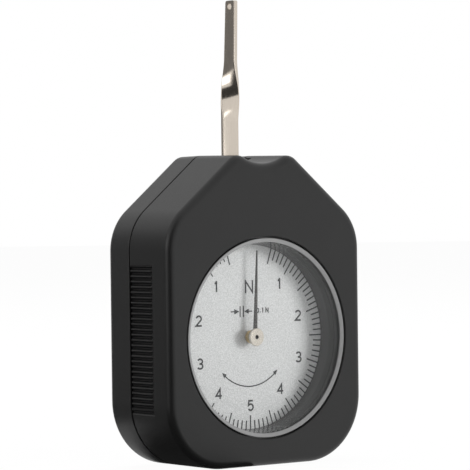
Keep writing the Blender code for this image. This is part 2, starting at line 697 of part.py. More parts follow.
def screw(name, size, seat, place):
    """A slotted screw driven from the rear: its head lies behind the seat plane, its shank before it."""
    head_radius, head, shank, length = size
    front = seat + FIT_GAP
    profile = [
        (0, front - length),
        (shank, front - length),
        (shank, front),
        (head_radius, front),
        (head_radius, front + head - HEAD_EDGE),
        (head_radius - HEAD_EDGE, front + head),
        (0, front + head),
    ]
    made = turned(name, profile, BLACK_SCREW, (place[0], 0, place[1]), SMALL_SEGMENTS)
    low = (-head_radius - OVERRUN, front + head - SLOT_DEPTH, -SLOT_WIDTH / 2)
    high = (head_radius + OVERRUN, front + head + OVERRUN, SLOT_WIDTH / 2)
    slot = block(low, high)
    slot.location = (place[0], 0, place[1])
    cut(made, slot)
    return made


def screw_set(name, size, seat, places, look=BLACK_SCREW):
    """Screws of one size at each of the places, numbered from one."""
    first = screw(f"{name}_1", size, seat, places[0])
    first.data.materials[0] = material(look)
    for i, (x, z) in enumerate(places[1:], start=2):
        another(first, f"{name}_{i}", (x, 0, z))


def pillars():
    """The four turned pillars, each with a spigot in the front plate and a screw hole at its rear."""
    front, back = FRONT_PLATE_BACK_Y + FIT_GAP, REAR_PLATE_Y - FIT_GAP
    bore = PLATE_SCREW[2] + FIT_GAP
    profile = [
        (0, FRONT_PLATE_Y + FIT_GAP),
        (PILLAR_SPIGOT_RADIUS, FRONT_PLATE_Y + FIT_GAP),
        (PILLAR_SPIGOT_RADIUS, front),
        (PILLAR_RADIUS, front),
        (PILLAR_RADIUS, back),
        (bore, back),
        (bore, back - PILLAR_BORE_DEPTH),
        (0, back - PILLAR_BORE_DEPTH),
    ]
    places = pillar_places()
    first = turned("pillar_1", profile, BRASS, (places[0][0], 0, places[0][1]), SMALL_SEGMENTS)
    for i, (x, z) in enumerate(places[1:], start=2):
        another(first, f"pillar_{i}", (x, 0, z))


def bush(name, journal, inner_face, outer_face, height):
    """A flanged bush in its plate. Its flange lies on the plate's inner face, between the plates."""
    bore = journal + RUN_GAP
    body = bore + BUSH_WALL
    inward = math.copysign(1, inner_face - outer_face)
    seat = inner_face + inward * FIT_GAP
    flange = seat + inward * BUSH_FLANGE
    end = outer_face + inward * FIT_GAP
    rim = body + BUSH_FLANGE_WIDTH
    profile = [(bore, end), (body, end), (body, seat), (rim, seat), (rim, flange), (bore, flange)]
    return turned(name, profile, BRASS, (0, 0, height), DISC_SEGMENTS, hollow=True)


def bushes():
    for name, journal, height in (
        ("lever_bush", ARBOR_JOURNAL_RADIUS, PIVOT_HEIGHT),
        ("pointer_bush", POINTER_JOURNAL_RADIUS, WINDOW_HEIGHT),
    ):
        bush(f"{name}_front", journal, FRONT_PLATE_BACK_Y, FRONT_PLATE_Y, height)
        bush(f"{name}_rear", journal, REAR_PLATE_Y, REAR_PLATE_BACK_Y, height)


def lever_arbor(pivot):
    front, back = FRONT_SHOULDER_Y, REAR_SHOULDER_Y
    end = REAR_PLATE_BACK_Y + FIT_GAP
    tail = LEAF_Y + LEAF_WIDTH
    profile = [
        (0, FRONT_PLATE_Y + FIT_GAP),
        (ARBOR_JOURNAL_RADIUS, FRONT_PLATE_Y + FIT_GAP),
        (ARBOR_JOURNAL_RADIUS, front),
        (ARBOR_RADIUS, front),
        (ARBOR_RADIUS, back),
        (ARBOR_JOURNAL_RADIUS, back),
        (ARBOR_JOURNAL_RADIUS, end),
        (ARBOR_TAIL_RADIUS, end),
        (ARBOR_TAIL_RADIUS, tail),
        (0, tail),
    ]
    return on(pivot, turned("lever_arbor", profile, STEEL))


def lever_hub(pivot):
    bore = ARBOR_RADIUS + FIT_GAP
    front, back = FRONT_SHOULDER_Y, REAR_SHOULDER_Y
    profile = [
        (bore, front),
        (HUB_SLEEVE_RADIUS, front),
        (HUB_SLEEVE_RADIUS, HUB_FLANGE_FRONT_Y),
        (HUB_FLANGE_RADIUS, HUB_FLANGE_FRONT_Y),
        (HUB_FLANGE_RADIUS, HUB_FLANGE_BACK_Y),
        (HUB_SLEEVE_RADIUS, HUB_FLANGE_BACK_Y),
        (HUB_SLEEVE_RADIUS, back),
        (bore, back),
    ]
    made = turned("lever_hub", profile, BRASS, hollow=True)
    low, high = HUB_FLANGE_FRONT_Y - OVERRUN, HUB_FLANGE_BACK_Y + OVERRUN
    drill(made, rivet_places(), RIVET_RADIUS + FIT_GAP, low, high)
    return on(pivot, made)


def rivet_places():
    return mirrored([(RIVET_SPREAD, 0)])


def rivets(pivot):
    """The two rivets through gear, hub flange and lever."""
    front = SECTOR_FRONT_Y - FIT_GAP
    back = LEVER_BACK_Y + FIT_GAP
    profile = [
        (0, front - RIVET_HEAD),
        (RIVET_HEAD_RADIUS, front - RIVET_HEAD),
        (RIVET_HEAD_RADIUS, front),
        (RIVET_RADIUS, front),
        (RIVET_RADIUS, back),
        (RIVET_HEAD_RADIUS, back),
        (RIVET_HEAD_RADIUS, back + RIVET_HEAD),
        (0, back + RIVET_HEAD),
    ]
    right, left = [(x, 0, z) for x, z in rivet_places()]
    first = on(pivot, turned("lever_rivet_1", profile, STEEL, segments=SMALL_SEGMENTS), right)
    on(pivot, another(first, "lever_rivet_2", left), left)


def eased(share):
    """A smooth step from 0 to 1."""
    return share * share * (3 - 2 * share)


def lean_at(height):
    """How far forward the strip stands at a height above the pivot: it leans from the start of its twist."""
    return max(0, height - PIVOT_DROP - TWIST_START_RISE) * math.tan(LEVER_LEAN)


def lever_section(height, width, thickness, turn):
    """The strip's cross-section with broken edges, turned clockwise as seen from above."""
    w, t = width / 2, thickness / 2
    corners = [(w - LEVER_EDGE, -t), (w, LEVER_EDGE - t), (w, t - LEVER_EDGE), (w - LEVER_EDGE, t)]
    corners += [(-x, y) for x, y in reversed(corners)]
    cos, sin = math.cos(turn), math.sin(turn)
    middle = LEVER_Y - lean_at(height)
    return [(x * cos + y * sin, middle - x * sin + y * cos, height) for x, y in corners]


def lever_stations():
    """Height, width, thickness and turn along the strip, from the pivot to the tip."""
    stations = [(0, LEVER_WIDTH, LEVER_THICKNESS, 0)]
    low, high = PIVOT_DROP + TWIST_START_RISE, PIVOT_DROP + TWIST_END_RISE
    for i in range(TWIST_STEPS + 1):
        share = eased(i / TWIST_STEPS)
        width = LEVER_WIDTH + (TIP_BASE_WIDTH - LEVER_WIDTH) * share
        thickness = LEVER_THICKNESS + (TIP_THICKNESS - LEVER_THICKNESS) * share
        stations.append((low + (high - low) * i / TWIST_STEPS, width, thickness, QUARTER * share))
    top = LEVER_TOP - PIVOT_HEIGHT
    for turn in (0, QUARTER / 3, QUARTER * 2 / 3, QUARTER):
        height = top - TIP_CORNER * (1 - math.sin(turn))
        width = TIP_WIDTH - 2 * TIP_CORNER * (1 - math.cos(turn))
        stations.append((height, width, TIP_THICKNESS, QUARTER))
    return stations


def measuring_lever(pivot):
    made = loft("measuring_lever", [lever_section(*station) for station in lever_stations()], NICKEL)
    front, back = LEVER_Y - LEVER_THICKNESS / 2, LEVER_Y + LEVER_THICKNESS / 2
    join(made, cylinders([(0, 0)], HUB_FLANGE_RADIUS, front, back, DISC_SEGMENTS))
    drill(made, [(0, 0)], HUB_SLEEVE_RADIUS + FIT_GAP, front - OVERRUN, back + OVERRUN, DISC_SEGMENTS)
    drill(made, rivet_places(), RIVET_RADIUS + FIT_GAP, front - OVERRUN, back + OVERRUN)
    hole_height = LEVER_TOP - TIP_HOLE_DROP - PIVOT_HEIGHT
    hole_y = LEVER_Y - lean_at(hole_height)
    cut(made, cross_cylinder(TIP_HOLE_RADIUS, TIP_THICKNESS + OVERRUN, hole_y, hole_height))
    return on(pivot, made)


def involute(angle):
    return math.tan(angle) - angle


def tooth(pitch_radius, teeth, turn, root, tip):
    """The points of one involute tooth that points along turn, from its right root to its left."""
    base = pitch_radius * math.cos(PRESSURE_ANGLE)
    half = math.pi / (2 * teeth) - BACKLASH / (2 * pitch_radius) + involute(PRESSURE_ANGLE)
    foot = max(base, root)
    radii = [foot + (tip - foot) * i / FLANK_STEPS for i in range(FLANK_STEPS + 1)]
    flank = [(r, half - involute(math.acos(min(1, base / r)))) for r in radii]
    if root < base:
        flank.insert(0, (root, flank[0][1]))
    both = [(r, turn - half_angle) for r, half_angle in flank]
    both += [(r, turn + half_angle) for r, half_angle in reversed(flank)]
    return [(r * math.cos(a), r * math.sin(a)) for r, a in both]


def sector_radii():
    pitch = GEAR_MODULE * SECTOR_TEETH / 2
    return pitch, pitch - GEAR_MODULE * DEDENDUM_SHARE, pitch + GEAR_MODULE * ADDENDUM_SHARE


def sector_side():
    """The gear's right-hand straight side, from the hub to the rim, about the pivot."""
    root = sector_radii()[1]
    turn = math.pi * SECTOR_CUT_TEETH / SECTOR_TEETH
    hub = (HUB_FLANGE_RADIUS * math.cos(turn), -HUB_FLANGE_RADIUS * math.sin(turn))
    rim = (root * math.sin(turn), -root * math.cos(turn))
    return hub, rim


def sector_gear(pivot):
    pitch, root, tip = sector_radii()
    hub, rim = sector_side()
    step = FULL / SECTOR_TEETH
    outline = [(-rim[0], rim[1])]
    for i in range(SECTOR_CUT_TEETH):
        turn = -QUARTER + step * (i - (SECTOR_CUT_TEETH - 1) / 2)
        outline += tooth(pitch, SECTOR_TEETH, turn, root, tip)
    outline.append(rim)
    start = math.atan2(hub[1], hub[0])
    outline += arc((0, 0), HUB_FLANGE_RADIUS, start, math.pi - start, DISC_SEGMENTS // 2)
    made = slab("sector_gear", outline, SECTOR_FRONT_Y, SECTOR_BACK_Y, BRASS)
    top = -HUB_FLANGE_RADIUS - SECTOR_RIM
    bottom = -root * math.cos(step * SECTOR_CUT_TEETH / 2) + SECTOR_RIM
    slope = (rim[0] - hub[0]) / (rim[1] - hub[1])
    window = [(hub[0] + slope * (z - hub[1]) - SECTOR_SPOKE, z) for z in (top, bottom)]
    window += [(-x, z) for x, z in reversed(window)]
    low, high = SECTOR_FRONT_Y - OVERRUN, SECTOR_BACK_Y + OVERRUN
    cut(made, slab("window", window, low, high, STEEL))
    drill(made, [(0, 0)], HUB_SLEEVE_RADIUS + FIT_GAP, low, high, DISC_SEGMENTS)
    drill(made, rivet_places(), RIVET_RADIUS + FIT_GAP, low, high)
    return on(pivot, made)


def pinion(spindle):
    """The pinion, with a gap between two teeth turned up towards the sector."""
    pitch = GEAR_MODULE * PINION_TEETH / 2
    root, tip = pitch - GEAR_MODULE * DEDENDUM_SHARE, pitch + GEAR_MODULE * ADDENDUM_SHARE
    step = FULL / PINION_TEETH
    outline = []
    for i in range(PINION_TEETH):
        outline += tooth(pitch, PINION_TEETH, QUARTER + step * (i + 1 / 2), root, tip)
    made = slab("pinion_gear", outline, FRONT_SHOULDER_Y, PINION_BACK_Y, BRASS)
    bore = POINTER_ARBOR_RADIUS + FIT_GAP
    drill(made, [(0, 0)], bore, FRONT_SHOULDER_Y - OVERRUN, PINION_BACK_Y + OVERRUN)
    return on(spindle, made)


def stop_pins():
    front = FRONT_PLATE_Y + FIT_GAP
    profile = [(0, front), (STOP_RADIUS, front), (STOP_RADIUS, front + STOP_LENGTH), (0, front + STOP_LENGTH)]
    right, left = [(x, 0, z) for x, z in stop_places()]
    first = turned("stop_pin_right", profile, STEEL, right, SMALL_SEGMENTS)
    another(first, "stop_pin_left", left)


def pointer_arbor(spindle):
    front, back = FRONT_SHOULDER_Y, REAR_SHOULDER_Y
    spigot_top = POINTER_TOP_Y + SPIGOT_RECESS
    hub_end = DIAL_Y - HUB_DIAL_GAP
    end = REAR_PLATE_BACK_Y - FIT_GAP
    profile = [
        (0, spigot_top),
        (POINTER_SPIGOT_RADIUS, spigot_top),
        (POINTER_SPIGOT_RADIUS, hub_end + FIT_GAP),
        (POINTER_JOURNAL_RADIUS, hub_end + FIT_GAP),
        (POINTER_JOURNAL_RADIUS, front),
        (POINTER_ARBOR_RADIUS, front),
        (POINTER_ARBOR_RADIUS, back),
        (POINTER_JOURNAL_RADIUS, back),
        (POINTER_JOURNAL_RADIUS, end),
        (0, end),
    ]
    return on(spindle, turned("pointer_arbor", profile, STEEL, segments=SMALL_SEGMENTS))


def pointer_hub(spindle):
    disc_back = POINTER_TOP_Y + HUB_DISC_THICKNESS
    back = DIAL_Y - HUB_DIAL_GAP
    profile = [
        (HUB_BORE_RADIUS, POINTER_TOP_Y),
        (HUB_DISC_RADIUS - HUB_DISC_EDGE, POINTER_TOP_Y),
        (HUB_DISC_RADIUS, POINTER_TOP_Y + HUB_DISC_EDGE),
        (HUB_DISC_RADIUS, disc_back),
        (HUB_BOSS_RADIUS, disc_back),
        (HUB_BOSS_RADIUS, back),
        (HUB_BORE_RADIUS, back),
    ]
    return on(spindle, turned("pointer_hub", profile, NICKEL, hollow=True))


def pointer_needle(spindle):
    half = NEEDLE_BASE_WIDTH / 2
    turn = math.asin(half / NEEDLE_EYE_RADIUS)
    outline = arc((0, 0), NEEDLE_EYE_RADIUS, QUARTER + turn, QUARTER - turn + FULL, DISC_SEGMENTS)
    outline += [(NEEDLE_TIP_WIDTH / 2, NEEDLE_LENGTH), (-NEEDLE_TIP_WIDTH / 2, NEEDLE_LENGTH)]
    front = POINTER_TOP_Y + HUB_DISC_THICKNESS + FIT_GAP
    back = front + NEEDLE_THICKNESS
    made = slab("pointer_needle", outline, front, back, NEEDLE_BLACK)
    drill(made, [(0, 0)], HUB_BOSS_RADIUS + FIT_GAP, front - OVERRUN, back + OVERRUN, DISC_SEGMENTS)
    return on(spindle, made)


def hairspring():
    """The flat spiral round the pointer arbor, from its collet out to its stud."""
    inner = COLLET_RADIUS + FIT_GAP + HAIRSPRING_THICKNESS / 2
    steps = HAIRSPRING_TURNS * HAIRSPRING_STEPS
    half = HAIRSPRING_THICKNESS / 2
    front, back = HAIRSPRING_Y, HAIRSPRING_Y + HAIRSPRING_WIDTH
    rings = []
    for i in range(steps + 1):
        turn = FULL * HAIRSPRING_TURNS * i / steps
        radius = inner + (HAIRSPRING_OUTER_RADIUS - inner) * i / steps
        edges = [(radius - half, front), (radius + half, front), (radius + half, back), (radius - half, back)]
        rings.append([(r * math.cos(turn), y, r * math.sin(turn)) for r, y in edges])
    pitch = (HAIRSPRING_OUTER_RADIUS - inner) / HAIRSPRING_TURNS
    print(f"least gap between the hairspring's turns: {pitch - HAIRSPRING_THICKNESS:.6f} m")
    return loft("hairspring", rings, SPRING_STEEL, (0, 0, WINDOW_HEIGHT))


def hairspring_collet(spindle):
    bore = POINTER_ARBOR_RADIUS + FIT_GAP
    middle = HAIRSPRING_Y + HAIRSPRING_WIDTH / 2
    front, back = middle - COLLET_LENGTH / 2, middle + COLLET_LENGTH / 2
    profile = [(bore, front), (COLLET_RADIUS, front), (COLLET_RADIUS, back), (bore, back)]
    made = turned("hairspring_collet", profile, BRASS, segments=SMALL_SEGMENTS, hollow=True)
    return on(spindle, made)


def stud_place():
    """The stud stands just outside the hairspring's outer end."""
    reach = HAIRSPRING_OUTER_RADIUS + HAIRSPRING_THICKNESS / 2 + FIT_GAP + STUD_RADIUS
    return (reach, WINDOW_HEIGHT)


def hairspring_stud():
    x, z = stud_place()
    front, back = HAIRSPRING_Y, REAR_PLATE_BACK_Y - FIT_GAP
    profile = [(0, front), (STUD_RADIUS, front), (STUD_RADIUS, back), (0, back)]
    return turned("hairspring_stud", profile, BRASS, (x, 0, z), SMALL_SEGMENTS)


def measuring_spring():
    """The leaf spring between its clamp on the lever's arbor and its fork on the rear plate."""
    top = PIVOT_HEIGHT - LEAF_TOP_DROP
    low = (-LEAF_THICKNESS / 2, LEAF_Y, LEAF_BOTTOM_HEIGHT)
    made = block(low, (LEAF_THICKNESS / 2, LEAF_Y + LEAF_WIDTH, top))
    made.name = "measuring_spring"
    made.data.materials[0] = material(SPRING_STEEL)
    middle = LEAF_Y + LEAF_WIDTH / 2
    height = PIVOT_HEIGHT - CLAMP_SCREW_DROP
    cut(made, cross_cylinder(LEAF_HOLE_RADIUS, LEAF_THICKNESS + OVERRUN, middle, height))
    return made


def spring_clamp(pivot):
    """The clamp on the arbor's tail, whose two jaws hold the leaf's upper end."""
    start = math.acos(CLAMP_HALF_WIDTH / CLAMP_RADIUS)
    outline = arc((0, 0), CLAMP_RADIUS, -start, math.pi + start, DISC_SEGMENTS)
    outline += [(-CLAMP_HALF_WIDTH, -CLAMP_LENGTH), (CLAMP_HALF_WIDTH, -CLAMP_LENGTH)]
    front, back = LEAF_Y - SEAT_GAP, LEAF_Y + LEAF_WIDTH
    made = slab("spring_clamp", outline, front, back, BRASS)
    drill(made, [(0, 0)], ARBOR_TAIL_RADIUS + FIT_GAP, front - OVERRUN, back + OVERRUN)
    half = LEAF_THICKNESS / 2 + FIT_GAP
    low = (-half, front - OVERRUN, -CLAMP_LENGTH - OVERRUN)
    cut(made, block(low, (half, back + OVERRUN, FIT_GAP - LEAF_TOP_DROP)))
    middle = LEAF_Y + LEAF_WIDTH / 2
    bore = CLAMP_SCREW_RADIUS + FIT_GAP
    length = 2 * (CLAMP_HALF_WIDTH + OVERRUN)
    cut(made, cross_cylinder(bore, length, middle, -CLAMP_SCREW_DROP))
    return on(pivot, made)


def spring_clamp_screw(pivot):
    """The small cross screw that closes the clamp on the leaf."""
    middle = LEAF_Y + LEAF_WIDTH / 2
    seat = CLAMP_HALF_WIDTH + FIT_GAP
    made = turned(
        "spring_clamp_screw",
        [
            (0, -seat),
            (CLAMP_SCREW_RADIUS, -seat),
            (CLAMP_SCREW_RADIUS, seat),
            (CLAMP_SCREW_HEAD_RADIUS, seat),
            (CLAMP_SCREW_HEAD_RADIUS, seat + CLAMP_SCREW_HEAD),
            (0, seat + CLAMP_SCREW_HEAD),
        ],
        BLACK_SCREW,
        segments=SMALL_SEGMENTS,
    )
    made.data.transform(Matrix.Rotation(-QUARTER, 4, "Z"))
    return on(pivot, made, (0, middle, -CLAMP_SCREW_DROP))


def fork_screw_places():
    height = LEAF_BOTTOM_HEIGHT - FORK_FLOOR + FORK_FOOT_HEIGHT / 2 - SEAT_GAP
    return mirrored([(FORK_SCREW_SPREAD, height)])


def spring_fork():
    """The block on the rear plate whose fork holds the leaf's lower end."""
    base = LEAF_BOTTOM_HEIGHT - FORK_FLOOR - SEAT_GAP
    front = REAR_PLATE_BACK_Y + FIT_GAP
    foot_back = front + FORK_FOOT_THICKNESS
    made = block((-FORK_FOOT_HALF_WIDTH, front, base), (FORK_FOOT_HALF_WIDTH, foot_back, base + FORK_FOOT_HEIGHT))
    made.name = "spring_fork"
    made.data.materials[0] = material(BRASS)
    middle = front + FORK_FOOT_THICKNESS / 2
    body_low = (-FORK_HALF_WIDTH, middle, base - SEAT_GAP)
    join(made, block(body_low, (FORK_HALF_WIDTH, LEAF_Y + LEAF_WIDTH, base + FORK_HEIGHT)))
    half = LEAF_THICKNESS / 2 + FIT_GAP
    gap_low = (-half, LEAF_Y - SEAT_GAP, LEAF_BOTTOM_HEIGHT - SEAT_GAP)
    cut(made, block(gap_low, (half, LEAF_Y + LEAF_WIDTH + OVERRUN, base + FORK_HEIGHT + OVERRUN)))
    drill(made, fork_screw_places(), BLOCK_SCREW[2] + FIT_GAP, front - OVERRUN, foot_back + OVERRUN)
    return made


def pivot_empty(name, height):
    made = bpy.data.objects.new(name, None)
    made.location = (0, 0, height)
    bpy.context.scene.collection.objects.link(made)
    return made


def on(pivot, piece, place=(0, 0, 0)):
    """Hangs a piece on its joint's empty, at a place measured from it."""
    piece.parent = pivot
    piece.location = place
    return piece


def case_pieces():
    front_case()
    rear_cover()
    lens_ring()
    window_lens()
    screw_set("cover_screw", COVER_SCREW, COVER_SEAT_Y, post_places())


def movement_pieces():
    dial_plate()
    front_plate()
    rear_plate()
    pillars()
    bushes()
    stop_pins()
    screw_set("pillar_screw", PLATE_SCREW, REAR_PLATE_BACK_Y, pillar_places(), STEEL)
    screw_set("movement_screw", CASE_SCREW, FRONT_PLATE_BACK_Y, ear_places(), STEEL)
    hairspring()
    hairspring_stud()
    measuring_spring()
    spring_fork()
    foot_back = REAR_PLATE_BACK_Y + FIT_GAP + FORK_FOOT_THICKNESS
    screw_set("fork_screw", BLOCK_SCREW, foot_back, fork_screw_places(), STEEL)


def lever_pieces():
    pivot = pivot_empty("lever_pivot", PIVOT_HEIGHT)
    measuring_lever(pivot)
    lever_arbor(pivot)
    lever_hub(pivot)
    rivets(pivot)
    sector_gear(pivot)
    spring_clamp(pivot)
    spring_clamp_screw(pivot)


def pointer_pieces():
    spindle = pivot_empty("pointer_spindle", WINDOW_HEIGHT)
    pointer_needle(spindle)
    pointer_hub(spindle)
    pointer_arbor(spindle)
    pinion(spindle)
    hairspring_collet(spindle)


def main():
    clear_scene()
    case_pieces()
    movement_pieces()
    lever_pieces()
    pointer_pieces()


main()
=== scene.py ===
"""Looks of the dial tension gauge: case, window, printed dial, pointer and twisted lever."""

import math

import bmesh
import bpy
from mathutils import Matrix, Vector


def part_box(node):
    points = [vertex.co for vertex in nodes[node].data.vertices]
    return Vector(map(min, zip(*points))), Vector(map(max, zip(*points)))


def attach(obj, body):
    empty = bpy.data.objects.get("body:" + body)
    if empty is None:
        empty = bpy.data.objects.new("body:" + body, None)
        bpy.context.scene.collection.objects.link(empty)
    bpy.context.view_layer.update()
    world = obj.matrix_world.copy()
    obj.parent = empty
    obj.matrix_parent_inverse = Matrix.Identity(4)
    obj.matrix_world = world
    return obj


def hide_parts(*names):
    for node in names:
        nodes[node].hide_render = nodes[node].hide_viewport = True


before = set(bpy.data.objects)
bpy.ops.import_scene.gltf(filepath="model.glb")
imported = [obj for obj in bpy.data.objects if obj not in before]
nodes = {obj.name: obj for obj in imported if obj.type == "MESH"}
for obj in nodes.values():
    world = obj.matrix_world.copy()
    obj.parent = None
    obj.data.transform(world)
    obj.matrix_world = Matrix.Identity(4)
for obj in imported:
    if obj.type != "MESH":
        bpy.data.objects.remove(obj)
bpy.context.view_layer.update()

# Planes and places taken from the solids
CASE_LOW, CASE_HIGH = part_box("front_case")
RING_LOW, RING_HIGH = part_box("lens_ring")
LENS_LOW, LENS_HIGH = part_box("window_lens")
DIAL_LOW, DIAL_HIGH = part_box("dial_plate")
HUB_LOW, HUB_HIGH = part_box("pointer_hub")
NEEDLE_LOW, NEEDLE_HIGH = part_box("pointer_needle")
SCREW_LOW, SCREW_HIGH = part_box("cover_screw_1")
FRONT_Y, RIM_Y, REAR_Y = CASE_LOW.y, CASE_HIGH.y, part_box("rear_cover")[1].y
HALF_WIDTH, CASE_HEIGHT = CASE_HIGH.x, 0.0759
WINDOW_HEIGHT = (RING_LOW.z + RING_HIGH.z) / 2
CENTRE = Vector((0, 0, WINDOW_HEIGHT))
DIAL_Y = DIAL_LOW.y
PIVOT_HEIGHT = 0.062
LEVER_Y = RIM_Y - 0.00135

# Case
PARTING_GAP = 0.00035
SEAM_DEPTH = 0.0007
SEAM_CLEARANCE = 0.00003
DRAFT = math.tan(math.radians(0.9))
PARTING_Y = RIM_Y + PARTING_GAP
CORNER_RADIUS = 0.0164
SHOULDER_RISE = 0.0276
SHOULDER_RADIUS = 0.0129
TOP_HALF_WIDTH = 0.00915
CREST_RADIUS = 0.004
SCOOP_DEPTH = 0.0019
EDGE_ROUND = 0.0018
RIM_BREAK = 0.00018
HOLD = 0.00012
LEAST_RADIUS = 0.0001
CASE_WALL = 0.0020
FRONT_WALL = 0.0022
COVER_WALL = 0.0030
COVER_BACK = 0.0020
TONGUE_LENGTH = 0.0015
TONGUE_GAP = 0.00015
SLOT_HALF_LENGTH = 0.0057
SLOT_FRONT_Y = 0.0003
SLOT_FLOOR = PIVOT_HEIGHT + 0.005
SLOT_RELIEF = 0.0015
OVERRUN = 0.001

# Window and dial well
WINDOW_RADIUS = 0.0248
WINDOW_EDGE = 0.00015
LEDGE_Y = LENS_HIGH.y + 0.00015
WELL_RADIUS = 0.0233
WELL_END_RADIUS = 0.0225
WELL_END_Y = DIAL_Y - 0.00015
TUBE_RADIUS = 0.0263
LENS_CLEARANCE = 0.00002
LENS_CHAMFER = 0.0002

# Grip ribs, with the groove's upper half as (height, depth)
RIB_COUNT = 28
RIB_PITCH = 0.00128
RIB_LOW_HEIGHT = 0.0141
RIB_LENGTH = 0.0090
RIB_END_LENGTH = 0.0010
GROOVE_HALF_SPAN = 0.00064
GROOVE_HALF = (
    (0.00063, -0.00001), (0.00058, 0.00001), (0.00053, 0.00005), (0.00047, 0.00012),
    (0.00040, 0.00022), (0.00032, 0.00036), (0.00022, 0.00053), (0.00008, 0.00068),
)
UNDER_BORDER_DEPTH = 0.00042
OVER_BORDER_DEPTH = 0.00018
RIB_BEVEL_LENGTH = 0.00055
RIB_BEVEL_DEPTH = 0.00023

# Screws and posts
TUBE_REACH = TUBE_RADIUS + 0.0033
POST_TURNS = (math.radians(-39), math.radians(42))
POST_RADIUS = 0.0026
POST_HOLE_RADIUS = 0.0012
POST_HOLE_DEPTH = 0.008
EAR_TURNS = (math.radians(-56), math.radians(60))
EAR_END_Y = -0.00435
EAR_RADIUS = 0.0024
EAR_HOLE_RADIUS = 0.0011
EAR_HOLE_DEPTH = 0.0037
COVER_POST_RADIUS = 0.0031
SINK_RADIUS = 0.0022
SINK_DEPTH = 0.0016
SINK_EDGE = 0.0002
SCREW_HEAD_RADIUS = 0.0020
SCREW_HEAD_HEIGHT = 0.0013
SCREW_SHANK_RADIUS = 0.0011
SCREW_SLOT_DEPTH = 0.0004
SCREW_SLOT_HALF_WIDTH = 0.00025

# Dial print
DISC_THICKNESS = 0.0008
FOOT_REACH = 0.009
FOOT_RADIUS = 0.0006
PRINT_LIFT = 0.00002
PRINT_THICKNESS = 0.00002
PRINT_FRONT = DIAL_Y - PRINT_LIFT - PRINT_THICKNESS
PRINT_BACK = DIAL_Y - PRINT_LIFT
PRINT_HEIGHT = WINDOW_HEIGHT - 0.0003
TICK_COUNT = 91
TICK_START = math.radians(18)
TICK_STEP = math.radians(3.6)
LONG_TICK_RADIUS = 0.01903
SHORT_TICK_RADIUS = 0.02030
TICK_OUTER_RADIUS = 0.0245
TICK_WIDTH = 0.00034
FIGURE_HEIGHT = 0.00266
FIGURE_STROKE = 0.00044
FIGURE_STRETCH = 1.26
FIGURE_PLACES = (
    ("1", 0.01639, -38.1), ("1", 0.01631, 36.3), ("2", 0.01628, -73.2), ("2", 0.01627, 72.0),
    ("3", 0.01632, -110.5), ("3", 0.01643, 109.0), ("4", 0.01642, -143.6), ("4", 0.01613, 143.6),
    ("5", 0.01662, 179.6),
)
UNIT_PLACE = (0.00004, 0.01262)
UNIT_HEIGHT = 0.00316
UNIT_STROKE = 0.00043
UNIT_STRETCH = 1.16
ZERO_MARK_PLACES = (-0.00284, -0.00183)
ZERO_MARK_ENDS = (0.0052, 0.00795)
ZERO_MARK_WIDTH = 0.00032
STEP_LEVEL = PRINT_HEIGHT + 0.00660
STEP_ARROWS = ((-0.00575, -0.00465, -0.00312), (0.00093, -0.00015, -0.00155))
STEP_ARROW_WIDTH = 0.00028
STEP_ARROW_HALF = 0.00066
STEP_FIGURES = (("0", 0.00270), ("1", 0.00425), ("N", 0.00560))
STEP_FIGURE_HEIGHT = 0.00118
STEP_FIGURE_STROKE = 0.00027
STEP_FIGURE_STRETCH = 1.2
STEP_POINT = (0.00345, -0.00045, -0.00022)
STEP_POINT_WIDTH = 0.00024
TWO_WAY_RADIUS = 0.0119
TWO_WAY_TURN = 140
TWO_WAY_WIDTH = 0.0003
TWO_WAY_HEAD_HALF = 0.0006
TWO_WAY_HEAD_TURN = 6.5

# Lever
LEVER_WIDTH = 0.00486
LEVER_THICKNESS = 0.0010
LEVER_LEAN = math.tan(math.radians(2.4))
TWIST_START = 0.0844
TWIST_END = 0.1001
TWIST_STEPS = 72
TIP_BASE_WIDTH = 0.0040
TIP_WIDTH = 0.0036
TIP_THICKNESS = 0.0012
TIP_CORNER = 0.0005
LEVER_EDGE = 0.0002
LEVER_HOLD = 0.00004
TIP_HOLE_RADIUS = 0.0008
TIP_HOLE_DROP = 0.0015
HUB_FLANGE_RADIUS = 0.0050
HUB_SLEEVE_RADIUS = 0.0029
RIVET_SPREAD = 0.00395
RIVET_RADIUS = 0.0005
FIT_GAP = 0.0001

# Pointer
NEEDLE_LEAN = math.radians(2.3)
NEEDLE_BASE_WIDTH = 0.0012
NEEDLE_TIP_WIDTH = 0.00034
NEEDLE_LENGTH = NEEDLE_HIGH.z - WINDOW_HEIGHT
NEEDLE_RIDGE = 0.0001
NEEDLE_EYE = 0.00205
HUB_BOSS = 0.0016
HUB_CAP = 0.0005
HUB_HOLE = 0.0005

# Colours as (dark, light)
BRASS = ((0.54, 0.38, 0.16), (0.66, 0.48, 0.22))
STEEL = ((0.44, 0.44, 0.45), (0.56, 0.56, 0.57))
WHITE = (1, 1, 1, 1)
LATHE_SCALE = 1 / (0.00012 * 6.28)

# Lamps and camera
LAMP_TARGET = Vector((0, 0, 0.05))
CAMERA_AZIMUTH = -37.99
CAMERA_ELEVATION = 0.583
CAMERA_ROLL = math.radians(-0.696)
CAMERA_TARGET = Vector((-0.000097, 0, 0.056231))
CAMERA_DISTANCE = 0.6492
SENSOR_WIDTH = 36
FOCAL_SHARE = 2624.4 / 470

QUARTER = math.pi / 2
FULL = 2 * math.pi
MERGE = 0.0000001
SMOOTH_ANGLE = math.radians(19)


# Nodes
def node(tree, kind, inputs=None, output=0, **settings):
    """A new node's output. Its inputs, by name or number, are values or the sockets to link."""
    made = tree.nodes.new(kind)
    for name, value in settings.items():
        setattr(made, name, value)
    for key, value in (inputs or {}).items():
        if isinstance(value, bpy.types.NodeSocket):
            tree.links.new(value, made.inputs[key])
        else:
            made.inputs[key].default_value = value
    return made.outputs[output]


def calculated(tree, operation, first, second=0):
    return node(tree, "ShaderNodeMath", {0: first, 1: second}, operation=operation)


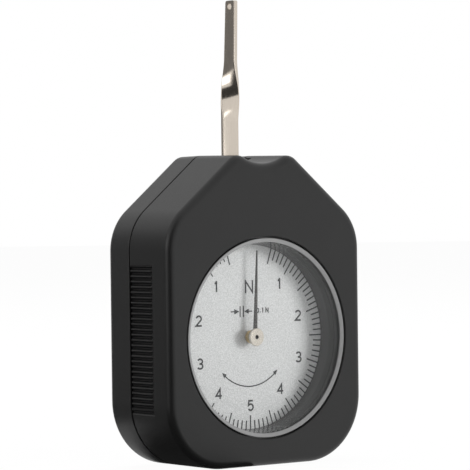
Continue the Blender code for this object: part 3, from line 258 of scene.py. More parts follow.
def grey(level):
    return (level, level, level)


def new_material(name, colour=(1, 1, 1), roughness=0.5, metallic=0.0):
    made = bpy.data.materials.new(name)
    made.use_nodes = True
    shader = made.node_tree.nodes["Principled BSDF"]
    shader.inputs["Base Color"].default_value = (*colour, 1)
    shader.inputs["Roughness"].default_value = roughness
    shader.inputs["Metallic"].default_value = metallic
    return made, made.node_tree, shader


def object_place(tree, stretch=(1, 1, 1), centre=(0, 0, 0)):
    """Object coordinates of the piece, centred and stretched."""
    at = node(tree, "ShaderNodeTexCoord", output="Object")
    start = [-c * s for c, s in zip(centre, stretch)]
    return node(tree, "ShaderNodeMapping", {"Vector": at, "Scale": stretch, "Location": start})


def noise(tree, place, size, detail=3.0, roughness=0.55):
    """Noise whose grains are about size metres."""
    inputs = {"Vector": place, "Scale": 1 / size, "Detail": detail, "Roughness": roughness}
    return node(tree, "ShaderNodeTexNoise", inputs)


def ranged(tree, value, low, high, to_low, to_high):
    inputs = {"Value": value, "From Min": low, "From Max": high, "To Min": to_low, "To Max": to_high}
    return node(tree, "ShaderNodeMapRange", inputs)


def surface(tree, shader, stain, dark, light, grain, smooth, rough, low=0.3, high=0.7):
    """The colour follows the stain, and the roughness follows the grain."""
    colours = {"Factor": stain, "A": (*dark, 1), "B": (*light, 1)}
    tint = node(tree, "ShaderNodeMix", colours, "Result", data_type="RGBA")
    tree.links.new(tint, shader.inputs["Base Color"])
    tree.links.new(ranged(tree, grain, low, high, smooth, rough), shader.inputs["Roughness"])


def bump(tree, shader, height, distance, strength, under=None):
    inputs = {"Distance": distance, "Strength": strength, "Height": height}
    if under:
        inputs["Normal"] = under
    made = node(tree, "ShaderNodeBump", inputs)
    tree.links.new(made, shader.inputs["Normal"])
    return made


def shown(tree, shader, output="Material Output"):
    tree.links.new(shader, tree.nodes[output].inputs["Surface"])


def mixed(tree, first, second, share):
    return node(tree, "ShaderNodeMixShader", {0: share, 1: first, 2: second})


# Materials
def black_plastic():
    """Matte black moulding with a fine spark-eroded grain."""
    made, tree, shader = new_material("black_plastic", grey(0.006), 0.42)
    shader.inputs["Specular IOR Level"].default_value = 0.41
    place = object_place(tree)
    grain = noise(tree, place, 0.00022, 4)
    surface(tree, shader, noise(tree, place, 0.012, 2), grey(0.0045), grey(0.0070), grain, 0.36, 0.48)
    bump(tree, shader, grain, 0.000012, 0.6)
    return made


def well_black():
    """Smooth black of the well's wall and of the window's edges."""
    made, tree, shader = new_material("well_black", grey(0.03), 0.2)
    place = object_place(tree)
    soft = noise(tree, place, 0.002, 2)
    surface(tree, shader, soft, grey(0.053), grey(0.067), soft, 0.16, 0.24)
    bump(tree, shader, noise(tree, place, 0.0004, 2), 0.000003, 0.3)
    return made


def ring_grey():
    made, tree, shader = new_material("ring_grey", grey(0.25), 0.38)
    place = object_place(tree)
    soft = noise(tree, place, 0.0015)
    surface(tree, shader, soft, grey(0.19), grey(0.24), soft, 0.32, 0.44)
    bump(tree, shader, noise(tree, place, 0.00015), 0.000003, 0.5)
    return made


def lens_clear():
    """See-through plastic, with a faint reflection that grows as it is seen more from the side."""
    made, tree, shader = new_material("lens_clear")
    tree.nodes.remove(shader)
    clear = node(tree, "ShaderNodeBsdfTransparent", {"Color": (0.985, 0.99, 0.99, 1)})
    wave = noise(tree, object_place(tree), 0.02, 1)
    wavy = node(tree, "ShaderNodeBump", {"Distance": 0.00002, "Strength": 0.4, "Height": wave})
    gloss = node(tree, "ShaderNodeBsdfGlossy", {"Color": WHITE, "Roughness": 0.03, "Normal": wavy})
    slant = node(tree, "ShaderNodeLayerWeight", {"Blend": 0.5}, "Facing")
    share = ranged(tree, calculated(tree, "POWER", slant, 5), 0, 1, 0.02, 0.9)
    shown(tree, mixed(tree, clear, gloss, share))
    return made


def dial_silver():
    """Fine sandblasted silver."""
    made, tree, shader = new_material("dial_silver", grey(0.54), 0.5, 0.15)
    place = object_place(tree)
    blast = noise(tree, place, 0.00034, 3, 0.6)
    specks = ranged(tree, blast, 0.38, 0.62, 0, 1)
    broad = noise(tree, place, 0.006, 2)
    surface(tree, shader, specks, (0.465, 0.465, 0.462), (0.63, 0.627, 0.623), broad, 0.44, 0.56)
    bump(tree, shader, blast, 0.00001, 0.5)
    return made


def dial_ink():
    made, tree, shader = new_material("dial_ink", (0.03, 0.03, 0.032), 0.5)
    worn = noise(tree, object_place(tree), 0.0002)
    surface(tree, shader, worn, (0.014, 0.014, 0.015), (0.034, 0.034, 0.036), worn, 0.42, 0.6)
    return made


def needle_black():
    made, tree, shader = new_material("needle_black", (0.05, 0.047, 0.045), 0.38, 0.3)
    drawn = noise(tree, object_place(tree, stretch=(1, 1, 0.15)), 0.0002)
    surface(tree, shader, drawn, (0.035, 0.033, 0.032), (0.07, 0.066, 0.063), drawn, 0.3, 0.45)
    bump(tree, shader, drawn, 0.000003, 0.4)
    return made


def lever_nickel():
    """Bright nickel plate over a lightly brushed strip."""
    made, tree, shader = new_material("lever_nickel", (0.60, 0.54, 0.47), 0.22, 1.0)
    strokes = noise(tree, object_place(tree, stretch=(1, 1, 0.04)), 0.00016)
    waves = noise(tree, object_place(tree), 0.004, 2)
    surface(tree, shader, strokes, (0.56, 0.50, 0.43), (0.64, 0.575, 0.50), strokes, 0.12, 0.20)
    fine = bump(tree, shader, strokes, 0.000002, 0.5)
    bump(tree, shader, waves, 0.00003, 0.35, fine)
    return made


def turned_metal(name, dark, light, roughness, height):
    """Metal with the fine rings that a lathe leaves about an axis along Y at that height."""
    made, tree, shader = new_material(name, light, roughness, 1.0)
    place = object_place(tree, centre=(0, 0, height))
    inputs = {"Vector": place, "Scale": LATHE_SCALE, "Distortion": 1.5, "Detail": 3, "Detail Scale": 2}
    lines = node(tree, "ShaderNodeTexWave", inputs, "Fac", wave_type="RINGS", rings_direction="Y")
    stain = noise(tree, place, 0.0012)
    surface(tree, shader, stain, dark, light, lines, roughness - 0.06, roughness + 0.08, 0, 1)
    bump(tree, shader, lines, 0.000003, 0.35)
    return made


def brushed_metal(name, dark, light, roughness, stretch, grain=0.0001):
    """Metal with straight brush lines."""
    made, tree, shader = new_material(name, light, roughness, 1.0)
    lines = noise(tree, object_place(tree, stretch=stretch), grain, 4)
    stain = noise(tree, object_place(tree), 0.005)
    surface(tree, shader, stain, dark, light, lines, roughness - 0.08, roughness + 0.1)
    bump(tree, shader, lines, 0.000004, 0.5)
    return made


# Mesh making
def as_object(name, mesh):
    made = bpy.data.objects.new(name, mesh)
    bpy.context.scene.collection.objects.link(made)
    return made


def shaded(made):
    made.data.shade_smooth()
    made.data.set_sharp_from_angle(angle=SMOOTH_ANGLE)
    return made


def from_bmesh(name, bm, material=None):
    bmesh.ops.remove_doubles(bm, verts=bm.verts, dist=MERGE)
    bmesh.ops.recalc_face_normals(bm, faces=bm.faces)
    mesh = bpy.data.meshes.new(name)
    bm.to_mesh(mesh)
    bm.free()
    if material:
        mesh.materials.append(material)
    return shaded(as_object(name, mesh))


def at_depth(outline, y):
    return [(x, y, z) for x, z in outline]


def skin(bm, rings, capped=True):
    """Faces from each ring of places to the next, and over both ends."""
    loops = [[bm.verts.new(p) for p in ring] for ring in rings]
    for first, second in zip(loops, loops[1:]):
        for i in range(len(first)):
            bm.faces.new((first[i - 1], first[i], second[i], second[i - 1]))
    if capped:
        bm.faces.new(loops[0])
        bm.faces.new(loops[-1])


def loft(name, rings, material=None):
    bm = bmesh.new()
    skin(bm, rings)
    return from_bmesh(name, bm, material)


def slab(outline, front, back):
    return loft("slab", [at_depth(outline, front), at_depth(outline, back)])


def turned(name, profile, centre, material=None, segments=192, closed=False):
    """The (radius, y) profile spun about the line along Y through the centre."""
    bm = bmesh.new()
    points = [bm.verts.new((centre[0] + radius, y, centre[2])) for radius, y in profile]
    ends = points[1:] + points[:1] if closed else points[1:]
    edges = [bm.edges.new(pair) for pair in zip(points, ends)]
    middle = (centre[0], 0, centre[2])
    spin = {"cent": middle, "axis": (0, 1, 0), "angle": FULL, "steps": segments, "use_merge": True}
    bmesh.ops.spin(bm, geom=points + edges, **spin)
    return from_bmesh(name, bm, material)


def rods(places, radius, front, back, segments=24):
    """Cylinders along Y at the (x, z) places."""
    bm = bmesh.new()
    rod = {"segments": segments, "radius1": radius, "radius2": radius, "depth": back - front}
    for x, z in places:
        place = Matrix.Translation((x, (front + back) / 2, z)) @ Matrix.Rotation(QUARTER, 4, "X")
        bmesh.ops.create_cone(bm, cap_ends=True, matrix=place, **rod)
    return from_bmesh("rods", bm)


def block(low, high):
    low, high = Vector(low), Vector(high)
    place = Matrix.Translation((low + high) / 2) @ Matrix.Diagonal((*(high - low), 1))
    bm = bmesh.new()
    bmesh.ops.create_cube(bm, size=1, matrix=place)
    return from_bmesh("block", bm)


def settled(piece):
    """Replaces the piece's mesh with what its modifiers make of it."""
    graph = bpy.context.evaluated_depsgraph_get()
    mesh = bpy.data.meshes.new_from_object(piece.evaluated_get(graph))
    piece.modifiers.clear()
    piece.data = mesh


def combine(piece, tool, operation):
    modifier = piece.modifiers.new(operation, "BOOLEAN")
    modifier.operation = operation
    modifier.solver = "EXACT"
    modifier.object = tool
    settled(piece)
    bpy.data.objects.remove(tool)
    shaded(piece)


def cut(piece, tool):
    combine(piece, tool, "DIFFERENCE")


def join(piece, tool):
    combine(piece, tool, "UNION")


def arc(centre, radius, start, end, steps):
    turns = [start + (end - start) * i / steps for i in range(steps + 1)]
    return [(centre[0] + radius * math.cos(t), centre[1] + radius * math.sin(t)) for t in turns]


def held(points, before, after):
    """The arc's points with one more just outside each end, along its tangents, so that flats stay flat."""
    first, second = Vector(points[0]), Vector(points[1])
    last, previous = Vector(points[-1]), Vector(points[-2])
    lead = first + (first - second).normalized() * before
    trail = last + (last - previous).normalized() * after
    return [tuple(lead)] + points + [tuple(trail)]


def mirrored(places):
    return [(side * x, z) for x, z in places for side in (1, -1)]


def round_the_tube(turns):
    return mirrored([(TUBE_REACH * math.cos(t), WINDOW_HEIGHT + TUBE_REACH * math.sin(t)) for t in turns])


def off_axis(place):
    return math.hypot(place.x, place.z)


def refinish(piece, material, wanted):
    """Gives the wanted faces one more finish. Their places count from the window's middle."""
    piece.data.materials.append(material)
    last = len(piece.data.materials) - 1
    for face in piece.data.polygons:
        if wanted(face.center - CENTRE, face.normal):
            face.material_index = last


def four(kind):
    return [f"{kind}_{i}" for i in (1, 2, 3, 4)]


def placed(piece, body, replaced=()):
    """Gives a finished piece its body and hides the solids that it stands for."""
    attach(piece, body)
    if replaced:
        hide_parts(*replaced)


# Geometry node trees
def new_tree(name, shape, inputs):
    """An empty tree with a shape and the named inputs of each kind, and the sockets that give them."""
    tree = bpy.data.node_groups.new(name, "GeometryNodeTree")
    for kind, names in {"Geometry": [shape], **inputs}.items():
        for each in names:
            tree.interface.new_socket(each, in_out="INPUT", socket_type="NodeSocket" + kind)
    tree.interface.new_socket("Geometry", in_out="OUTPUT", socket_type="NodeSocketGeometry")
    return tree, tree.nodes.new("NodeGroupInput").outputs


def end_tree(tree, geometry, material):
    """Makes instances real, sets the material and gives out the result."""
    real = node(tree, "GeometryNodeRealizeInstances", {"Geometry": geometry})
    finish = node(tree, "GeometryNodeSetMaterial", {"Geometry": real, "Material": material})
    tree.links.new(finish, tree.nodes.new("NodeGroupOutput").inputs["Geometry"])
    return tree


def combined(tree, **axes):
    return node(tree, "ShaderNodeCombineXYZ", axes)


def run_tree(piece, tree, values):
    """Applies a node tree with its named inputs set, and leaves a plain mesh."""
    modifier = piece.modifiers.new(tree.name, "NODES")
    modifier.node_group = tree
    for item in tree.interface.items_tree:
        if item.in_out == "INPUT" and item.name in values:
            modifier[item.identifier] = values[item.name]
    settled(piece)


# Case
def case_outline(inset, draft=0.0):
    """The case's outline, drawn in by inset: round lower corners, slanted shoulders and the scoop on top.

    The draft draws in all of it once more but its flat base.
    """
    whole = inset + draft
    drop = CASE_HEIGHT - WINDOW_HEIGHT - SHOULDER_RISE
    slant = math.atan2(HALF_WIDTH - TOP_HALF_WIDTH, drop)
    nx, nz = math.cos(slant), math.sin(slant)
    crest_start = TOP_HALF_WIDTH - CREST_RADIUS * (1 - nz) / nx
    crest_rise = CREST_RADIUS - SCOOP_DEPTH
    scoop_radius = (crest_start**2 + crest_rise**2 - CREST_RADIUS**2) / (2 * SCOOP_DEPTH)
    scoop_centre = (0, CASE_HEIGHT - SCOOP_DEPTH + scoop_radius)
    corner = max(CORNER_RADIUS - whole, LEAST_RADIUS)
    shoulder = max(SHOULDER_RADIUS - whole, LEAST_RADIUS)
    crest = max(CREST_RADIUS - whole, LEAST_RADIUS)
    side, top = HALF_WIDTH - whole, CASE_HEIGHT - whole
    reach = nx * TOP_HALF_WIDTH + nz * CASE_HEIGHT - whole
    shoulder_x = side - shoulder
    shoulder_z = (reach - shoulder - nx * shoulder_x) / nz
    crest_z = top - crest
    crest_x = (reach - crest - nz * crest_z) / nx
    to_crest = math.atan2(crest_z - scoop_centre[1], crest_x)
    right = held(arc((side - corner, inset + corner), corner, -QUARTER, 0, 36), HOLD, HOLD)
    right += held(arc((shoulder_x, shoulder_z), shoulder, 0, slant, 22), HOLD, HOLD)
    right += held(arc((crest_x, crest_z), crest, slant, to_crest + math.pi, 20), HOLD, 0)[:-1]
    right += arc(scoop_centre, scoop_radius + whole, to_crest, -QUARTER, 14)[1:]
    return right + [(-x, z) for x, z in reversed(right[:-1])]


def case_levels(rim, face):
    """The case's outlines from its broken rim to the outer face, with the rounded edge between them."""
    outward = math.copysign(1, face - rim)
    start = abs(face - rim) - EDGE_ROUND
    steps = [(0, RIM_BREAK), (RIM_BREAK * 0.3, RIM_BREAK * 0.3), (RIM_BREAK, 0)]
    steps += [(RIM_BREAK + HOLD, 0), (start - HOLD, 0)]
    for i in range(13):
        turn = QUARTER * i / 12
        steps.append((start + EDGE_ROUND * math.sin(turn), EDGE_ROUND * (1 - math.cos(turn))))
    steps.append((start + EDGE_ROUND, EDGE_ROUND + HOLD))
    return [at_depth(case_outline(inset, far * DRAFT), rim + outward * far) for far, inset in steps]


def groove_cutter():
    """One grip groove as a closed bar, whose lower wall curves up to its front end."""
    front, back = RIM_Y - RIB_LENGTH, RIM_Y + OVERRUN
    ceiling = GROOVE_HALF[0][0]
    shape = [*GROOVE_HALF, *[(-z, depth) for z, depth in reversed(GROOVE_HALF)]]
    rings = []
    for i in range(7):
        along = i / 6
        reach = 0.3 + 0.7 * math.sqrt(1 - (1 - along) ** 2)
        share = min(1, 0.25 + 1.5 * along)
        y = front + RIB_END_LENGTH * along
        lean = (RIM_Y - y) * DRAFT
        ring = [(-OVERRUN, -GROOVE_HALF_SPAN), (-OVERRUN, GROOVE_HALF_SPAN)]
        ring += [(depth * share, z) for z, depth in shape]
        rings.append([(depth + lean, y, ceiling - (ceiling - z) * reach) for depth, z in ring])
    lean += (back - RIM_Y) * DRAFT
    rings.append([(depth - lean, back, z) for depth, y, z in rings[-1]])
    return loft("groove_cutter", rings)


def repeat_upwards():
    """A node tree that repeats a shape along Z."""
    inputs = {"Int": ["Count"], "Vector": ["First place"], "Float": ["Pitch"], "Material": ["Finish"]}
    tree, given = new_tree("repeat_upwards", "Geometry", inputs)
    step = combined(tree, Z=given["Pitch"])
    inputs = {"Count": given["Count"], "Start Location": given["First place"], "Offset": step}
    line = node(tree, "GeometryNodeMeshLine", inputs)
    inputs = {"Points": line, "Instance": given["Geometry"]}
    return end_tree(tree, node(tree, "GeometryNodeInstanceOnPoints", inputs), given["Finish"])


def grip_grooves(side, material):
    cutter = groove_cutter()
    values = {
        "Count": RIB_COUNT,
        "First place": (-HALF_WIDTH, 0, RIB_LOW_HEIGHT),
        "Pitch": RIB_PITCH,
        "Finish": material,
    }
    run_tree(cutter, repeat_upwards(), values)
    if side > 0:
        cutter.data.transform(Matrix.Diagonal((-1, 1, 1, 1)))
        cutter.data.flip_normals()
    return cutter


def rib_trim(side, places):
    """A bar along the ribs, whose section is given as (depth, z)."""
    rings = []
    for y in (RIM_Y - RIB_LENGTH, RIM_Y + OVERRUN):
        outside = HALF_WIDTH - (RIM_Y - y) * DRAFT
        rings.append([(side * (outside - depth), y, z) for depth, z in places])
    return loft("rib_trim", rings)


def rib_borders(side):
    """The slanted border under the lowest groove, the small step over the highest, and the ribs' bevels."""
    low = RIB_LOW_HEIGHT - RIB_PITCH / 2
    high = RIB_LOW_HEIGHT + RIB_PITCH * (RIB_COUNT - 0.5)
    under = [
        (-OVERRUN, low - 0.00042), (0, low - 0.00042), (UNDER_BORDER_DEPTH, low + 0.00014),
        (UNDER_BORDER_DEPTH, low + 0.0003), (-OVERRUN, low + 0.0003),
    ]
    over = [
        (-OVERRUN, high - 0.0001), (0, high - 0.0001), (OVER_BORDER_DEPTH, high + 0.00014),
        (OVER_BORDER_DEPTH, high + 0.0002), (-OVERRUN, high + 0.00032),
    ]
    bevel = [
        (-OVERRUN, RIM_Y - RIB_BEVEL_LENGTH), (0.00001, RIM_Y - RIB_BEVEL_LENGTH),
        (RIB_BEVEL_DEPTH, RIM_Y), (0.0005, RIM_Y + OVERRUN), (-OVERRUN, RIM_Y + OVERRUN),
    ]
    rings = [[(side * (HALF_WIDTH - depth), y, z) for depth, y in bevel] for z in (low, high)]
    return [rib_trim(side, under), rib_trim(side, over), loft("rib_ends", rings)]


def front_case(plastic, smooth):
    made = loft("case_front", case_levels(RIM_Y, FRONT_Y), plastic)
    cut(made, slab(case_outline(CASE_WALL), FRONT_Y + FRONT_WALL, RIM_Y + OVERRUN))
    middle = FRONT_Y + FRONT_WALL / 2
    ears, posts = round_the_tube(EAR_TURNS), round_the_tube(POST_TURNS)
    join(made, rods([(0, WINDOW_HEIGHT)], TUBE_RADIUS, middle, WELL_END_Y, 96))
    join(made, rods(ears, EAR_RADIUS, middle, EAR_END_Y))
    join(made, rods(posts, POST_RADIUS, middle, RIM_Y))
    bore = [(0, FRONT_Y - OVERRUN), (WINDOW_RADIUS + WINDOW_EDGE, FRONT_Y - OVERRUN)]
    for turn in (0, QUARTER / 2, QUARTER):
        reach = WINDOW_RADIUS + WINDOW_EDGE * (1 - math.sin(turn))
        bore.append((reach, FRONT_Y + WINDOW_EDGE * (1 - math.cos(turn))))
    bore += [
        (WINDOW_RADIUS, LEDGE_Y), (WELL_RADIUS, LEDGE_Y), (WELL_END_RADIUS, WELL_END_Y + OVERRUN),
        (0, WELL_END_Y + OVERRUN),
    ]
    cut(made, turned("bore", bore, CENTRE))
    cut(made, rods(ears, EAR_HOLE_RADIUS, EAR_END_Y - EAR_HOLE_DEPTH, EAR_END_Y + OVERRUN))
    cut(made, rods(posts, POST_HOLE_RADIUS, RIM_Y - POST_HOLE_DEPTH, RIM_Y + OVERRUN))
    slot_low = (-SLOT_HALF_LENGTH, SLOT_FRONT_Y, SLOT_FLOOR)
    cut(made, block(slot_low, (SLOT_HALF_LENGTH, RIM_Y + OVERRUN, CASE_HEIGHT + OVERRUN)))
    for side in (1, -1):
        cut(made, grip_grooves(side, plastic))
        for trim in rib_borders(side):
            cut(made, trim)

    def in_well(place, normal):
        deep = FRONT_Y + 0.0004 < place.y < DIAL_Y - 0.0002
        return deep and off_axis(place) < WINDOW_RADIUS + 0.00002

    refinish(made, smooth, in_well)
    placed(made, "case", ["front_case"])


def rear_cover(plastic):
    made = loft("case_cover", case_levels(PARTING_Y, REAR_Y), plastic)
    tongue_y = PARTING_Y - TONGUE_LENGTH
    join(made, slab(case_outline(CASE_WALL + TONGUE_GAP), tongue_y, PARTING_Y + OVERRUN))
    seam_y = PARTING_Y - PARTING_GAP + SEAM_CLEARANCE
    join(made, slab(case_outline(SEAM_DEPTH), seam_y, PARTING_Y + OVERRUN))
    cut(made, slab(case_outline(COVER_WALL), tongue_y - OVERRUN, REAR_Y - COVER_BACK))
    posts = round_the_tube(POST_TURNS)
    join(made, rods(posts, COVER_POST_RADIUS, PARTING_Y, REAR_Y - COVER_BACK / 2, 32))
    cut(made, rods(posts, POST_HOLE_RADIUS, PARTING_Y - OVERRUN, REAR_Y + OVERRUN))
    sink = [
        (0, REAR_Y - SINK_DEPTH), (SINK_RADIUS, REAR_Y - SINK_DEPTH),
        (SINK_RADIUS, REAR_Y - SINK_EDGE), (SINK_RADIUS + SINK_EDGE, REAR_Y),
        (SINK_RADIUS + SINK_EDGE, REAR_Y + OVERRUN), (0, REAR_Y + OVERRUN),
    ]
    for x, z in posts:
        cut(made, turned("sink", sink, (x, 0, z), segments=48))
    relief = SLOT_HALF_LENGTH + SLOT_RELIEF
    cut(made, block((-relief, tongue_y - OVERRUN, SLOT_FLOOR), (relief, PARTING_Y, CASE_HEIGHT + OVERRUN)))
    placed(made, "case", ["rear_cover"])


def cover_screws(material):
    """The four slotted heads in the cover's back."""
    seat = REAR_Y - SINK_DEPTH + FIT_GAP
    shank_end = seat - SCREW_HIGH.y + SCREW_LOW.y + SCREW_HEAD_HEIGHT
    radius, top = SCREW_HEAD_RADIUS, seat + SCREW_HEAD_HEIGHT
    profile = [
        (0, shank_end), (SCREW_SHANK_RADIUS, shank_end), (SCREW_SHANK_RADIUS, seat), (radius, seat),
        (radius, top - 0.0002), (radius - 0.00006, top - 0.00006), (radius - 0.0002, top), (0, top),
    ]
    made = turned("cover_screws", profile, (0, 0, 0), material, segments=48)
    half = SCREW_SLOT_HALF_WIDTH
    cut(made, block((-0.003, top - SCREW_SLOT_DEPTH, -half), (0.003, top + OVERRUN, half)))
    bm = bmesh.new()
    for i, (x, z) in enumerate(round_the_tube(POST_TURNS)):
        one = made.data.copy()
        one.transform(Matrix.Translation((x, 0, z)) @ Matrix.Rotation(math.radians(25 + 37 * i), 4, "Y"))
        bm.from_mesh(one)
        bpy.data.meshes.remove(one)
    bpy.data.objects.remove(made)
    joined = from_bmesh("cover_screws", bm, material)
    placed(joined, "case", four("cover_screw"))


# Window
def is_wall(place, normal):
    return abs(normal.y) < 0.5


def lens_ring(material, smooth):
    """The ring, whose grey face slopes inward to the well's edge. Its side walls take the well's black: on
    the inner wall this carries on the well's own black wall, and on the outer wall it is painted shade in
    the groove between ring and case.
    """
    front, back = RING_LOW.y, RING_HIGH.y
    inner, outer = WELL_RADIUS, RING_HIGH.x
    profile = [
        (inner, back), (inner, front + 0.00056), (inner + 0.00004, front + 0.00046),
        (inner + 0.00012, front + 0.00037), (outer - 0.00026, front + 0.00004),
        (outer - 0.00016, front), (outer - 0.00008, front + 0.00003),
        (outer - 0.00002, front + 0.00009), (outer, front + 0.00017), (outer, back),
    ]
    made = turned("window_ring", profile, CENTRE, material, closed=True)
    # Painted shade on the outer wall, which darkens the groove between ring and case; the inner wall's
    # black matches the well's wall.
    refinish(made, smooth, is_wall)
    placed(made, "case", ["lens_ring"])


def window_lens(material, smooth):
    """The clear disc and its blackened border, which is held between the ring and the case."""
    front, back, radius = LENS_LOW.y, LENS_HIGH.y, LENS_HIGH.x
    clear = WELL_RADIUS - LENS_CLEARANCE
    made = turned("window_glass", [(0, front), (clear, front), (clear, back), (0, back)], CENTRE, material)
    border = [
        (WELL_RADIUS, back), (WELL_RADIUS, front), (radius - LENS_CHAMFER, front),
        (radius, front + LENS_CHAMFER), (radius, back),
    ]
    join(made, turned("window_border", border, CENTRE, closed=True))

    def in_border(place, normal):
        return is_wall(place, normal) or off_axis(place) > clear

    refinish(made, smooth, in_border)
    placed(made, "case", ["window_lens"])


# Dial
def dial_disc(material):
    front, back, radius = DIAL_LOW.y, DIAL_LOW.y + DISC_THICKNESS, DIAL_HIGH.x
    hole, edge = 0.001, 0.0001
    profile = [(hole, front), (radius - edge, front), (radius, front + edge), (radius, back), (hole, back)]
    made = turned("dial_disc", profile, CENTRE, material, closed=True)
    feet = mirrored([(FOOT_REACH, WINDOW_HEIGHT)])
    join(made, rods(feet, FOOT_RADIUS, front + DISC_THICKNESS / 2, DIAL_HIGH.y))
    placed(made, "case", ["dial_plate"])


def tick_tree():
    """A node tree that sets tick marks round a circle, every fifth of them long."""
    numbers = ["First angle", "Step angle", "Outer radius", "Long length", "Short length"]
    inputs = {"Int": ["Count"], "Float": numbers, "Vector": ["Centre"], "Material": ["Ink"]}
    tree, given = new_tree("dial_ticks", "Tick", inputs)
    index = node(tree, "GeometryNodeInputIndex")
    steps = calculated(tree, "MULTIPLY", index, given["Step angle"])
    turn = calculated(tree, "ADD", steps, given["First angle"])
    across = calculated(tree, "MULTIPLY", calculated(tree, "SINE", turn), given["Outer radius"])
    upward = calculated(tree, "MULTIPLY", calculated(tree, "COSINE", turn), given["Outer radius"])
    is_short = calculated(tree, "GREATER_THAN", calculated(tree, "MODULO", index, 5), 0.5)
    length = node(tree, "ShaderNodeMix", {0: is_short, 2: given["Long length"], 3: given["Short length"]})
    circle = combined(tree, X=across, Z=upward)
    place = node(tree, "ShaderNodeVectorMath", {0: circle, 1: given["Centre"]})
    line = node(tree, "GeometryNodeMeshLine", {"Count": given["Count"]})
    inputs = {
        "Points": node(tree, "GeometryNodeSetPosition", {"Geometry": line, "Position": place}),
        "Instance": given["Tick"],
        "Rotation": node(tree, "FunctionNodeEulerToRotation", {0: combined(tree, Y=turn)}),
        "Scale": combined(tree, X=1, Y=1, Z=length),
    }
    return end_tree(tree, node(tree, "GeometryNodeInstanceOnPoints", inputs), given["Ink"])


def dial_ticks(ink):
    """The scale's marks, from one flat bar that hangs inwards from the outer circle."""
    half, thickness = TICK_WIDTH / 2, PRINT_THICKNESS / 2
    made = block((-half, -thickness, -1), (half, thickness, 0))
    made.name = "dial_ticks"
    values = {
        "Count": TICK_COUNT,
        "First angle": TICK_START,
        "Step angle": TICK_STEP,
        "Outer radius": TICK_OUTER_RADIUS,
        "Long length": TICK_OUTER_RADIUS - LONG_TICK_RADIUS,
        "Short length": TICK_OUTER_RADIUS - SHORT_TICK_RADIUS,
        "Centre": (0, PRINT_BACK - thickness, PRINT_HEIGHT),
        "Ink": ink,
    }
    run_tree(made, tick_tree(), values)
    placed(made, "case")


def oval(cx, cz, rx, rz, start, end, steps=14):
    """Points of an elliptical arc, with its angles in degrees from the right, anticlockwise."""
    turns = [math.radians(start + (end - start) * i / steps) for i in range(steps + 1)]
    return [(cx + rx * math.cos(t), cz + rz * math.sin(t)) for t in turns]


# Strokes of each figure, in a cell 1 high and centred on zero
FIGURES = {
    "0": [oval(0, 0, 0.27, 0.44, 90, 450, 24)],
    "1": [[(-0.16, 0.24), (0.0, 0.44), (0.02, 0.44), (0.02, -0.5)]],
    "2": [oval(0, 0.2, 0.27, 0.245, 165, -28) + [(-0.29, -0.44), (0.31, -0.44)]],
    "3": [
        oval(-0.02, 0.225, 0.25, 0.22, 155, -90),
        oval(-0.02, -0.215, 0.28, 0.225, 90, -155),
        [(-0.1, 0.005), (0.0, 0.005)],
    ],
    "4": [[(0.14, -0.5), (0.14, 0.42), (-0.3, -0.2), (0.33, -0.2)]],
    "5": [[(0.25, 0.44), (-0.2, 0.44), (-0.25, 0.02)] + oval(-0.01, -0.155, 0.27, 0.285, 125, -150, 16)],
    "N": [[(-0.34, -0.5), (-0.34, 0.44), (0.34, -0.44), (0.34, 0.5)]],
}


def stroke(bm, points, width):
    """One pen stroke of constant width as a thin closed slab, mitred at its corners."""
    points = [Vector(p) for p in points]
    count = len(points)
    closed = (points[0] - points[-1]).length < width * 0.05
    rings = []
    for i in range(count):
        before = points[i] - points[i - 1] if i else None
        after = points[i + 1] - points[i] if i < count - 1 else None
        if closed and i == 0:
            before = points[-1] - points[-2]
        if closed and i == count - 1:
            after = points[1] - points[0]
        first = (before or after).normalized()
        second = (after or before).normalized()
        normal = Vector((-first.y - second.y, first.x + second.x)).normalized()
        reach = width / 2 / max(normal.dot(Vector((-first.y, first.x))), 0.35)
        left, right = points[i] + normal * reach, points[i] - normal * reach
        corners = ((left, PRINT_FRONT), (right, PRINT_FRONT), (right, PRINT_BACK), (left, PRINT_BACK))
        rings.append([(p.x, y, p.y) for p, y in corners])
    skin(bm, rings, capped=not closed)


def figure(bm, character, x, z, height, width, stretch):
    for line in FIGURES[character]:
        stroke(bm, [(x + px * (height - width) * stretch, z + pz * height) for px, pz in line], width)


def arrow_head(bm, outline):
    skin(bm, [at_depth(outline, PRINT_FRONT), at_depth(outline, PRINT_BACK)])


def on_print(radius, degrees):
    """The (x, z) place on the dial at that radius, clockwise from the top."""
    turn = math.radians(degrees)
    return radius * math.sin(turn), PRINT_HEIGHT + radius * math.cos(turn)


